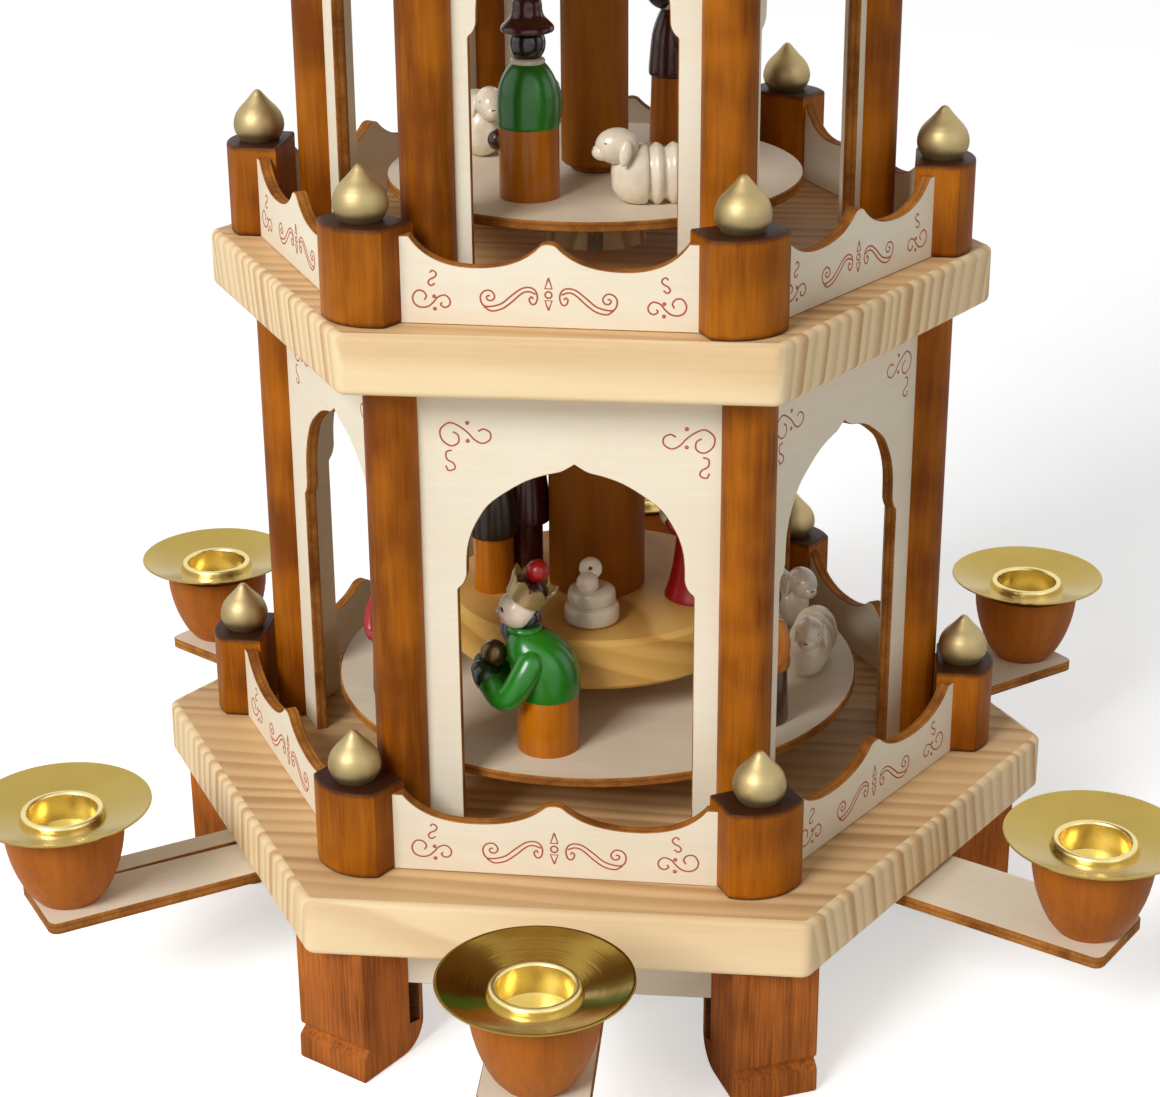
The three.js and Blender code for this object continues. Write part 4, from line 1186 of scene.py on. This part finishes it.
def panel_strokes(storey, number):
    size = storey["scroll"]
    scale = storey["opening"] / 27.8
    high = storey["spring"] + 1.226 * storey["rise"]
    small = storey["spring"] + 1.01 * storey["rise"]
    corner = [
        off(smooth(PANEL_SCROLL), -25.2 * scale, high, size),
        off(circle_stroke(0, 2.3, 0.3), -25.2 * scale, high, size),
        off(circle_stroke(0, -2.1, 0.3), -25.2 * scale, high, size),
        off(smooth(PANEL_SMALL), -29.35 * scale, small, size),
    ]
    return [off(stroke, storey["arches"][number] + 0.6, 0) for stroke in both_sides(corner)]


def strokes_mesh(sides, distance, height, name):
    """Open lines on upright faces, as a mesh of edges; sides pairs each turn with its lines."""
    sizes = bpy.context.scene.pyramid_sizes
    deep = distance + (sizes.line_rise - sizes.line_width / 2) / MM
    points, edges = [], []
    for about, strokes in sides:
        turn = Matrix.Rotation(about, 3, "Z")
        for stroke in strokes:
            start = len(points)
            points += [turn @ Vector((deep, u, height + v)) * MM for u, v in stroke]
            edges += [(k, k + 1) for k in range(start, len(points) - 1)]
    mesh = bpy.data.meshes.new(name)
    mesh.from_pydata(points, edges, [])
    grain = mesh.attributes.new("grain", "FLOAT_VECTOR", "POINT")
    grain.data.foreach_set("vector", [c for p in points for c in p])
    return mesh


class AddScrollwork(bpy.types.Operator):
    """Adds the fine scrolls on the rails and on the arched panels"""

    bl_idname = "mesh.pyramid_scrollwork"
    bl_label = "Scrollwork"

    def execute(self, context):
        width = context.scene.pyramid_sizes.line_width
        for name, storey in STOREYS.items():
            low = top(storey["plate"])
            size = storey["rail"] / 86.8
            strokes = rail_strokes(size, 29 * size)
            rails = strokes_mesh([(0, strokes)], storey["rail"], low, name + "_rail_lines")
            askew(ring(rails, name + "_rail_scrolls", "frame", (), "scroll", "scroll",
                       start=FIRST_SIDE, raised=width), storey)
            sides = [(SIDE_STEP * number, panel_strokes(storey, number)) for number in range(SIDES)]
            panels = strokes_mesh(sides, panel_face(storey), low, name + "_panel_lines")
            aside(ring(panels, name + "_panel_scrolls", "frame", (), "scroll", "scroll",
                       start=FIRST_SIDE, count=1, raised=width), storey)
        return {"FINISHED"}


def arm_outline(number):
    """The fourth arm has a saw slit; the others are whole."""
    tip, half, corner = DISH_RING + 9, 12.5, 2.5
    points = [Vector((50, -half))]
    points += arc(tip - corner, corner - half, corner, -90, 0, 6)
    points += arc(tip - corner, half - corner, corner, 0, 90, 6)
    points.append(Vector((50, half)))
    if number == 3:
        points += [Vector((50, -3.1)), Vector((90, -3.8)), Vector((135.6, -4.4)), Vector((136, -4.7))]
        points += [Vector((135.6, -5.0)), Vector((90, -5.3)), Vector((50, -5.5))]
    return points


def cup():
    outside = through([(8.1, 0.35), (10.3, 3.2), (12.3, 7.4), (13.7, 11.7), (14.6, 16.5), (14.8, 20.6)], 3)
    profile = [(0, 0), (7.8, 0)] + [(p.x, p.y) for p in outside]
    profile += [(14.6, 21.3), (9.9, 21.3), (9.7, 21.1), (9.7, 15.3), (0, 15.3)]
    return turned(profile, "cup")


def dish():
    z = 22.5
    below = [(0, z - 6.9), (9.4, z - 6.9), (9.4, z - 0.9), (13.9, z + 0.2), (18.3, z + 1.3)]
    rim = [(21.7, z + 2.65), (22, z + 2.9), (21.95, z + 3.2), (21.6, z + 3.3)]
    floor = [(21.2, z + 3.15), (18, z + 2.25), (14.2, z + 1.2), (10.35, z + 0.2)]
    roll = [(10.3, z + 0.7), (10.25, z + 1.15), (9.9, z + 1.55), (9.4, z + 1.7), (8.9, z + 1.55), (8.55, z + 1.2)]
    inside = [(8.5, z + 0.9), (8.5, z - 5.8), (8.2, z - 6), (0, z - 6)]
    profile = below + rim + floor + roll + inside
    bright = len(below) + len(rim) + len(floor) - 1
    kinds = ["brass"] * bright + ["socket"] * (len(profile) - 1 - bright)
    return turned(profile, kinds)


def arm_place(number):
    """Where an arm lies, swung a little and drawn out from its side's middle line."""
    side = FIRST_SIDE + SIDE_STEP * number
    turn = side + math.radians(ARM_SWINGS[number])
    hinge = Vector((math.cos(side), math.sin(side))) * ARM_PIVOT
    drawn = Vector((math.cos(turn), math.sin(turn))) * (ARM_PIVOT - ARM_DRAWS[number])
    offset = hinge - drawn
    return Matrix.Translation((offset.x, offset.y, 0)) @ Matrix.Rotation(turn, 4, "Z")


class AddCandleArms(bpy.types.Operator):
    """Adds the six candle arms with their turned cups and brass dishes"""

    bl_idname = "mesh.pyramid_arms"
    bl_label = "Candle arms"

    def execute(self, context):
        for number in range(SIDES):
            body = f"arm_{number + 1}"
            parts = (
                (slab(arm_outline(number), PLY, "ply", "burnt").moved(z=foot("candle_arm_1")),
                 "candle_arm", "white_ply", "_board"),
                (cup().moved(DISH_RING, 0, foot("candle_cup_1")), "candle_cup", "stained_wood", "_turned"),
                (dish().moved(DISH_RING, 0, foot("candle_cup_1")), "drip_dish", "brass", "_spun"),
            )
            for shape, node, slot, ending in parts:
                for grain in shape.grain if node != "drip_dish" else ():
                    grain += Vector((0, 0, 170 * number))
                name = f"{node}_{number + 1}"
                made(shape.placed(arm_place(number)), name + ending, body, [name])
        return {"FINISHED"}


# What turns


def disc(radius, low, high, face, edge, ease=0.3, bore=2.3):
    """A round board with a hole for the spindle."""
    profile = [
        (bore, low), (radius - ease, low), (radius, low + ease), (radius, high - ease),
        (radius - ease, high), (bore, high),
    ]
    kinds = [face, edge, edge, edge, face, edge]
    return turned(profile, kinds, 96)


class AddSpindle(bpy.types.Operator):
    """Adds the spindle, its cup bearing and its bush"""

    bl_idname = "mesh.pyramid_spindle"
    bl_label = "Spindle"

    def execute(self, context):
        low, high = foot("spindle"), top("spindle")
        rod = turned([(0, low), (0.4, low + 0.6), (2, low + 3.1), (2, high - 0.4), (1.6, high), (0, high)], "steel", 32)
        made(rod, "spindle_rod", "wheel", ["spindle"])
        z = foot("bearing_cup")
        cup_seat = turned(
            [(0, z), (4.8, z), (5, z + 0.3), (5, z + 6.8), (4.8, z + 7), (3.7, z + 7), (3.4, z + 6.8), (0, z + 1.6)],
            "socket", 40,
        )
        made(cup_seat, "bearing_cup_turned", "frame", ["bearing_cup"])
        z, high = foot("top_bush"), top("top_bush")
        bush = turned(
            [(2.3, z), (4, z), (4, high - 2), (6, high - 2), (6, high - 0.4), (5.6, high), (2.5, high), (2.3, high - 0.2)],
            "socket", 40,
        )
        made(bush, "top_bush_turned", "frame", ["top_bush"])
        return {"FINISHED"}


class AddTurntables(bpy.types.Operator):
    """Adds the three turntables, the dais and the drums round the spindle"""

    bl_idname = "mesh.pyramid_turntables"
    bl_label = "Turntables"

    def execute(self, context):
        for name, storey in STOREYS.items():
            z = top(storey["plate"]) + TABLE_LIFT
            node = "turntable_" + name
            made(disc(storey["table"], z, z + TABLE_THICK, "table", "burnt"), node + "_disc", "wheel",
                 [node])
            made(disc(9, z - 8, z, "stained", "stained", 0.8), node + "_boss", "wheel",
                 [node])
            radius, tall = (16, 9.5) if name == "lower" else (6, 1.7)
            spacer = disc(radius, z + TABLE_THICK, z + TABLE_THICK + tall, "stained", "stained", 0.5)
            made(spacer, node + "_spacer", "wheel", [node])
            drum = "drum_" + name
            barrel = disc(storey["drum"], foot(drum), top(drum), "drum", "drum", 0.7)
            made(barrel, drum + "_barrel", "wheel", [drum])
        dais = disc(39.5, foot("dais"), top("dais"), "pine_dais", "pine_dais", 1.2)
        made(dais, "dais_block", "wheel", ["dais"])
        return {"FINISHED"}


def paddle_outline():
    points = [Vector((46, -14)), Vector((165, -33))]
    points += bowed(points[-1], (169, -33), (171, -27), 5)
    points += bowed(points[-1], (175, 0), (171, 27), 14)
    points += bowed(points[-1], (169, 33), (165, 33), 5)
    points += [Vector((46, 14))]
    return points


class AddPaddleWheel(bpy.types.Operator):
    """Adds the hub and its eight pitched paddles on dowels"""

    bl_idname = "mesh.pyramid_wheel"
    bl_label = "Paddle wheel"

    def execute(self, context):
        low, high = foot("rotor_hub"), top("rotor_hub")
        hub = disc(27, low, high, "stained", "stained", 1.4)
        made(hub, "rotor_hub_turned", "wheel", ["rotor_hub"])
        middle = (low + high) / 2
        for number in range(8):
            paddle = slab(paddle_outline(), 2, "lime", "lime", 0.4, 2).moved(z=-1)
            paddle.moved(turn=(25, 0, 0))
            dowel = turned([(0, 12), (2.1, 12), (2.5, 12.4), (2.5, 75.2), (1.9, 76), (0, 76)], "lime", 24)
            paddle.joined(dowel.moved(turn=(0, 90, 0)))
            for grain in paddle.grain:
                grain += Vector((210 * number, 0, 0))
            paddle.placed(Matrix.Rotation(math.radians(45 * number), 4, "Z")).moved(z=middle)
            node = f"blade_{number + 1}"
            made(paddle, node + "_paddle", f"paddle_{number + 1}", [node])
        return {"FINISHED"}


# Figures. Each is made at its own foot and looks along -X.


def stooped(shape, height, curve):
    """Bends a garment over towards -X, more and more above that height."""
    return shape.bent(lambda p: (p.x - curve * max(p.z - height, 0) ** 2, p.y, p.z))


def rounded(points, steps=4):
    return [(max(p.x, 0), p.y) for p in through(points, steps)]


def robe(profile, kind, facets=36):
    """A turned garment from a smooth outline; both ends run in to the axis."""
    line = rounded(profile)
    return turned([(0, line[0][1])] + line + [(0, line[-1][1])], kind, facets)


def face_of(x, y, z, size, about=0.0):
    """A pale round head with small dark eyes, a button nose and pink cheeks."""
    head = ball(size, 0, 0, 0, "skin")
    for side in (-1, 1):
        eye = ball(size * 0.17, 0, 0, 0, "black", (0.5, 1.25, 0.6), 12).moved(turn=(-24 * side, 0, 0))
        eye.moved(turn=(0, 0, -side * 42)).moved(-size * 0.71, side * size * 0.62, size * 0.2)
        cheek = ball(size * 0.26, 0, 0, 0, "blush", (0.3, 1, 0.9), 14).moved(turn=(0, 0, -side * 38))
        head.joined(eye, cheek.moved(-size * 0.7, side * size * 0.54, -size * 0.34))
    head.joined(ball(size * 0.15, -size * 0.98, 0, -size * 0.08, "skin", facets=12))
    return head.moved(x, y, z, (0, 0, about))


def sleeves(path, thick, kind, cuff, hand="skin"):
    """Two bent sleeves with cuffs and hands."""
    pair = Shape()
    for side in (-1, 1):
        line = through([(x, side * y, z) for x, y, z in path], 4)
        count = len(line)
        radii = [thick * (1 - 0.22 * k / (count - 1)) for k in range(count)]
        pair.joined(tube(line, radii, kind))
        way = (line[-1] - line[-3]).normalized()
        pair.joined(tube([line[-1] + way * 0.2, line[-1] + way * 1.6], [thick * 0.82] * 2, cuff))
        end = line[-1] + way * (thick * 0.5 + 1.6)
        pair.joined(ball(thick * 0.62, end.x, end.y, end.z, hand, facets=16))
    return pair


def crown(radius, band, leaf, count, kind):
    """A thin band with pointed leaves that flare outwards."""
    steps = count * 8
    levels = (0, 0.35, 0.7, 1)
    points, rings = [], []
    outer, inner = [], []
    for share in levels:
        outer.append([len(points) + k for k in range(steps)])
        for k in range(steps):
            a = 2 * math.pi * k / steps
            point = 1 - abs((k % 8) / 4 - 1)
            tall = band + leaf * point**0.6
            r = radius + 0.7 * leaf * (share * tall / (band + leaf)) ** 1.8
            points.append((r * math.cos(a), r * math.sin(a), share * tall))
    for share in reversed(levels):
        inner.append([len(points) + k for k in range(steps)])
        for k in range(steps):
            a = 2 * math.pi * k / steps
            point = 1 - abs((k % 8) / 4 - 1)
            tall = band + leaf * point**0.6
            r = radius - 0.6 + 0.7 * leaf * (share * tall / (band + leaf)) ** 1.8
            points.append((r * math.cos(a), r * math.sin(a), share * tall))
    rings = outer + inner
    rings.append(rings[0])
    faces = []
    for low, high in zip(rings, rings[1:]):
        for k in range(steps):
            j = (k + 1) % steps
            faces.append([low[k], low[j], high[j], high[k]])
    return Shape().add(points, faces, [kind] * len(faces))


def king():
    figure = robe([(7.4, 0), (7.75, 0.4), (7.75, 8), (7.75, 15.6)], "skirt")
    coat = robe([(7.5, 14.6), (8.0, 14.9), (8.2, 16.4), (8.5, 20), (8.5, 23.4), (8.0, 26), (7.0, 28.3), (5.5, 30.2), (3.7, 31.8)], "green")
    figure.joined(stooped(coat, 15.3, 0.0185))
    collar = turned([(p.x, p.y) for p in arc(3.4, 31.8, 1.0, -90, 255, 14)], "green", 30)
    figure.joined(collar.moved(-5.6, 0, 0.2))
    figure.joined(sleeves([(-3.2, 5.8, 25), (-5.2, 7.5, 21.4), (-8.2, 7.9, 17.0), (-11, 6.9, 16.4), (-14.2, 4.3, 19.2)], 3.9, "green", "dark_green", "dark_green"))
    figure.joined(ball(3.4, -13.3, 0, 24.8, "bronze"))
    figure.joined(ball(3.5, -4.6, 0, 34.9, "black"))
    figure.joined(face_of(-7.1, 0, 36.9, 4.9))
    figure.joined(tube([(-10.2, 0, 33.4), (-10.4, 0, 31), (-9.9, 0, 28.6)], [1.4, 1.2, 0.6], "grey"))
    hat = crown(4.9, 4.0, 2.3, 8, "gilt").moved(z=-2.8).joined(ball(4.2, 0, 0, -0.6, "maroon", (1, 1, 0.8)))
    figure.joined(hat.moved(-4.2, 0, 42.2, (0, 30, 0)))
    return figure.joined(ball(2.9, -2.1, 0, 47.2, "red"))


def crib():
    lower = robe([(5.4, 0), (6.8, 0.6), (7.1, 2.4), (6.9, 4.4), (6.0, 5.4)], "cream")
    upper = robe([(5.0, 5), (6.0, 5.6), (6.2, 7.2), (5.8, 8.8), (4.6, 9.6)], "cream")
    figure = lower.joined(upper)
    figure.joined(ball(2.9, -0.8, -2.4, 11.4, "skin"))
    pillow = turned(rounded([(0.5, -0.6), (1.8, -0.9), (2.95, 0), (1.8, 0.9), (0.5, 0.6)]), "cream", 30)
    return figure.joined(pillow.moved(-0.2, -0.6, 14.6, (70, 0, 0)))


def cloaked(foot_radius, height, skirt, coat):
    """A standing figure whose coat reaches to half its height."""
    hem, h = height * 0.47, height
    figure = robe([(foot_radius - 0.3, 0), (foot_radius, 0.4), (foot_radius, hem + 1)], skirt)
    figure.joined(robe([(6.0, hem - 0.3), (6.4, hem + 0.1), (6.4, hem + 4), (6.1, hem + 8.5), (5.2, h - 5.4), (4.0, h - 3.4), (2.2, h - 2.4)], coat))
    return figure.joined(ball(4.3, 0, 0, h, "black"))


def cloaked_pair():
    first = cloaked(5.3, 33.5, "skirt", "bark").joined(face_of(-0.6, 0, 33.9, 3.9, 40))
    second = cloaked(4.5, 37, "maroon", "maroon").joined(face_of(-0.6, 0, 37.4, 3.9, 40))
    return first.joined(second.moved(7.8, 6.3))


def gowned():
    """A red gown that flares out at its foot."""
    figure = robe([(8.2, 0), (8.6, 0.6), (7.5, 4), (6.3, 10), (5.5, 18), (5.2, 23), (4.4, 28), (3.2, 32)], "red")
    figure.joined(sleeves([(-0.6, 4.2, 27), (-1.8, 5.4, 23), (-4.4, 5, 20), (-7, 2.4, 21.6)], 2.3, "red", "cream"))
    return figure.joined(ball(4.6, 0.2, 0, 35.8, "umber")).joined(face_of(-1, 0, 35.4, 4.5))


def robed(height, foot_radius, gown, coat, hair, lean=0.0):
    """A plain standing figure in a gown, with a short coat over it."""
    r, h = foot_radius, height
    figure = robe([(r * 0.94, 0), (r, 0.6), (r * 0.98, h * 0.12), (r * 0.94, h * 0.3), (r * 0.92, h * 0.4)], gown)
    figure.joined(robe([(r * 0.96, h * 0.37), (r * 1.04, h * 0.385), (r * 1.02, h * 0.45), (r * 0.9, h * 0.6), (r * 0.66, h * 0.7), (r * 0.42, h * 0.76)], coat))
    figure.joined(sleeves([(-0.4, r * 0.66, h * 0.66), (-1.2, r * 0.92, h * 0.55), (-3.4, r * 0.84, h * 0.45), (-6.4, r * 0.44, h * 0.46)], r * 0.36, coat, gown))
    size = h * 0.115
    figure.joined(ball(size, 1.1 + lean, 0, h * 0.85, hair))
    return figure.joined(face_of(lean, 0, h * 0.84, size * 0.98))


def shepherd():
    """Seen from behind: a coat with sloping shoulders, a dark round head and a drooping hat."""
    figure = robe([(6.9, 0), (7.2, 0.4), (7.2, 9), (7.2, 18)], "skirt")
    figure.joined(robe([(6.8, 16.8), (7.3, 17.2), (7.4, 19), (7.4, 23), (7.0, 26), (6.3, 28.4), (5.2, 30.4), (4.0, 31.8), (2.6, 32.8)], "green"))
    figure.joined(turned([(p.x, p.y) for p in arc(3.2, 32.3, 0.9, -90, 255, 14)], "cream", 30))
    arms = sleeves([(-1.5, 4.6, 26), (-2.6, 5.4, 22.4), (-4.8, 4.8, 18.4), (-6.4, 2.4, 17)], 2.6, "green", "dark_green", "umber")
    figure.joined(arms.moved(turn=(0, 0, -90)))
    figure.joined(ball(2.6, -7.3, 0, 13.5, "umber"))
    figure.joined(ball(4.3, 0, 0, 36.4, "black", (1, 1, 1.08)))
    hat = robe([(3.4, 39.8), (5.0, 39.0), (6.2, 39.4), (6.2, 40.4), (5.2, 41.5), (4.1, 42.6), (3.6, 44.0), (3.4, 46.0), (2.4, 47.6), (0.9, 48.3)], "maroon")
    return figure.joined(hat)


def sheep():
    """A lying sheep with a smooth round chest, and the fleece behind it in rolls."""
    fleece = [(0.6, 0), (3.4, 0.4), (5.8, 2.4), (7, 5), (7.2, 8), (6.2, 8.8)]
    for roll in range(3):
        fleece += [(7.3, 10.4 + 4 * roll), (7.1, 11.6 + 4 * roll), (6.1, 12.7 + 4 * roll)]
    fleece += [(6.6, 21.4), (4.6, 22.6), (0.6, 23.2)]
    body = turned([(0, 0)] + rounded(fleece, 4)[1:-1] + [(0, 23.2)], "cream", 40)
    body.moved(turn=(0, 90, 0)).bent(lambda p: (p.x - 6.4, p.y * 0.8, p.z + 6.95))
    figure = body.joined(ball(4.5, -5.2, -1.6, 14.2, "cream", (1.15, 0.84, 0.95)))
    figure.joined(ball(2.5, -8.4, -1.7, 12.9, "cream", (1.1, 0.9, 0.85)))
    figure.joined(ball(0.8, -10.6, -1.7, 13.3, "umber", (0.6, 1.2, 0.8), 12))
    for side in (-1, 1):
        ear = ball(2.5, 0, 0, 0, "cream", (0.6, 0.34, 1.25), 18).moved(turn=(side * 10, 12, 0))
        figure.joined(ear.moved(-3.6, -1.6 + side * 3.9, 13.2))
        figure.joined(ball(0.5, -8.0, -1.6 + side * 2.5, 15.3, "black", facets=12))
    return figure


def angel():
    figure = robe([(5.5, 0), (6, 0.5), (5.8, 4), (5, 11), (3.8, 16.5), (2.6, 20)], "cream")
    figure.joined(sleeves([(-0.6, 2.8, 17), (-1.6, 3.8, 13.6), (-3.6, 3.0, 12), (-5.2, 1.2, 13)], 1.5, "cream", "gilt"))
    figure.joined(ball(3.5, 0.7, 0, 23.2, "umber", facets=20)).joined(face_of(0, 0, 23, 3.4))
    for side in (-1, 1):
        wing = slab([Vector(p) for p in ((0, 0), (4, 1.4), (7.2, 5.6), (7.4, 9), (4.2, 7.4), (0.8, 5.6))], 1.2, "gilt", "gilt", 0.3, 2)
        wing.bent(lambda p, side=side: (3.0 + p.z, side * (0.4 + p.x), 11 + p.y))
        if side < 0:
            wing.faces = [face[::-1] for face in wing.faces]
        figure.joined(wing)
    return figure


class AddFigures(bpy.types.Operator):
    """Adds the painted figures on the turntables and on the dais"""

    bl_idname = "mesh.pyramid_figures"
    bl_label = "Figures"

    def execute(self, context):
        lower = foot("figure_king")
        dais = foot("figure_crib")
        middle = foot("figure_shepherd")
        upper = top("upper_plate") + TABLE_LIFT + TABLE_THICK
        standing = (
            (king(), "figure_king", "paint_green", -7.2, -51.5, lower, 0),
            (crib(), "figure_crib", "paint_cream", 1.2, -25.5, dais, 0),
            (cloaked_pair(), "figure_cloaked", "paint_maroon", -26.6, -6.3, dais, 0),
            (gowned(), "figure_red_gown", "paint_red", 27, -6.5, dais, 0),
            (shepherd(), "figure_shepherd", "paint_green", -12.8, -28.5, middle, 0),
            (sheep(), "figure_sheep", "paint_cream", 13.5, -33, middle, 12),
            (robed(40, 5.6, "charcoal", "red", "black", -0.5), "figure_lower_left", "paint_red", -51, -24, lower, 90),
            (sheep(), "figure_lower_sheep", "paint_cream", 56, -4, lower, 80),
            (sheep(), "figure_lower_lamb", "paint_cream", 50, 28, lower, 120),
            (robed(40, 7, "umber", "skirt", "black", -1), "figure_lower_right", "stained_wood", 45, -31, lower, 60),
            (robed(46, 6, "skirt", "maroon", "black", 1), "figure_middle_right", "paint_red", 17, 32, middle, 200),
            (sheep(), "figure_middle_sheep", "paint_cream", -30, 12, middle, 105),
        )
        shared = {"figure_lower": "turntable_lower", "figure_middle": "turntable_middle"}
        for shape, name, slot, x, y, z, about in standing:
            node = shared.get(name.rpartition("_")[0], name)
            made(shape.moved(x, y, z, (0, 0, about)), name + "_painted", "wheel", [node])
        for number in range(3):
            about = 30 + 120 * number
            shape = angel().moved(24).moved(0, 0, upper, (0, 0, about))
            made(shape, f"figure_angel_{number + 1}", "wheel", ["turntable_upper"])
        return {"FINISHED"}


# The stage


class AddStage(bpy.types.Operator):
    """Adds the pale floor, the lamps, the white surroundings and the camera"""

    bl_idname = "mesh.pyramid_stage"
    bl_label = "Stage"

    def execute(self, context):
        mesh = bpy.data.meshes.new("floor")
        wide = 30
        mesh.from_pydata([(-wide, -wide, 0), (wide, -wide, 0), (wide, wide, 0), (-wide, wide, 0)], [], [(0, 1, 2, 3)])
        floor = bpy.data.objects.new("floor", mesh)
        context.scene.collection.objects.link(floor)
        material = bpy.data.materials.new("Pale floor")
        material.use_nodes = True
        tree = material.node_tree
        shader = tree.nodes["Principled BSDF"]
        shader.inputs["Specular IOR Level"].default_value = 0.0
        place = put(tree, "ShaderNodeTexCoord").outputs["Object"]
        patches = put(tree, "ShaderNodeTexNoise", {"Vector": place, "Scale": 3.0, "Detail": 3.0}).outputs["Fac"]
        toned = blend_colour(tree, patches, (0.93, 0.93, 0.93, 1), (0.96, 0.96, 0.96, 1))
        tree.links.new(toned, shader.inputs["Base Color"])
        tree.links.new(calc(tree, "MULTIPLY_ADD", patches, 0.1, 0.8), shader.inputs["Roughness"])
        mesh.materials.append(material)
        ray = put(tree, "ShaderNodeLightPath").outputs["Is Camera Ray"]
        shader.inputs["Emission Color"].default_value = (1, 1, 1, 1)
        tree.links.new(calc(tree, "MULTIPLY", ray, 0.5), shader.inputs["Emission Strength"])

        world = bpy.data.worlds.new("Surroundings")
        world.use_nodes = True
        context.scene.world = world
        tree = world.node_tree
        path = put(tree, "ShaderNodeLightPath").outputs
        seen = calc(tree, "MAXIMUM", path["Is Camera Ray"], path["Is Glossy Ray"])
        seen = calc(tree, "MAXIMUM", seen, path["Is Transmission Ray"])
        tree.nodes["Background"].inputs["Color"].default_value = (1, 1, 1, 1)
        strength = calc(tree, "MULTIPLY_ADD", seen, 0.73, 0.27)
        tree.links.new(strength, tree.nodes["Background"].inputs["Strength"])

        for name, place, power, size in (
            ("Key", (-2.1, -3.5, 3.0), 184, 1.9),
            ("Fill", (3.2, -2.6, 2.0), 10, 2.2),
        ):
            light = bpy.data.lights.new(name, "AREA")
            light.energy, light.size = power, size
            lamp = bpy.data.objects.new(name, light)
            lamp.location = place
            lamp.rotation_euler = (Vector((0, 0, 0.18)) - lamp.location).to_track_quat("-Z", "Y").to_euler()
            context.scene.collection.objects.link(lamp)

        camera = bpy.data.cameras.new("Camera")
        camera.lens, camera.sensor_width, camera.sensor_fit = 77.29, 36, "HORIZONTAL"
        camera.clip_start, camera.clip_end = 0.01, 100
        eye = bpy.data.objects.new("Camera", camera)
        turn = Matrix.Rotation(math.radians(6.19), 4, "Z") @ Matrix.Rotation(math.radians(67.57), 4, "X")
        turn = turn @ Matrix.Rotation(math.radians(-0.44), 4, "Z")
        eye.matrix_world = Matrix.Translation((0.06114, -0.6051, 0.35204)) @ turn
        context.scene.collection.objects.link(eye)
        context.scene.camera = eye
        context.scene.view_settings.view_transform = "Standard"
        return {"FINISHED"}


PIECES = (
    AddStage, AddPlates, AddFeet, AddArcades, AddGalleries, AddScrollwork, AddCandleArms,
    AddSpindle, AddTurntables, AddPaddleWheel, AddFigures,
)


class PyramidPanel(bpy.types.Panel):
    """Lists the pieces of the pyramid with its sizes and colours"""

    bl_idname = "VIEW3D_PT_pyramid"
    bl_label = "Pyramid"
    bl_space_type = "VIEW_3D"
    bl_region_type = "UI"
    bl_category = "Pyramid"

    def draw(self, context):
        for group in (context.scene.pyramid_sizes, context.scene.pyramid_colours):
            for key in group.bl_rna.properties.keys():
                if key not in ("rna_type", "name"):
                    self.layout.prop(group, key)
        for piece in PIECES:
            self.layout.operator(piece.bl_idname)


CLASSES = (PyramidColours, PyramidSizes, *PIECES, PyramidPanel)


def register():
    for item in CLASSES:
        bpy.utils.register_class(item)
    bpy.types.Scene.pyramid_colours = PointerProperty(type=PyramidColours)
    bpy.types.Scene.pyramid_sizes = PointerProperty(type=PyramidSizes)


def unregister():
    del bpy.types.Scene.pyramid_sizes
    del bpy.types.Scene.pyramid_colours
    for item in reversed(CLASSES):
        bpy.utils.unregister_class(item)


def main():
    register()
    for piece in PIECES:
        getattr(bpy.ops.mesh, piece.bl_idname.split(".")[1])()


if __name__ == "__main__":
    main()
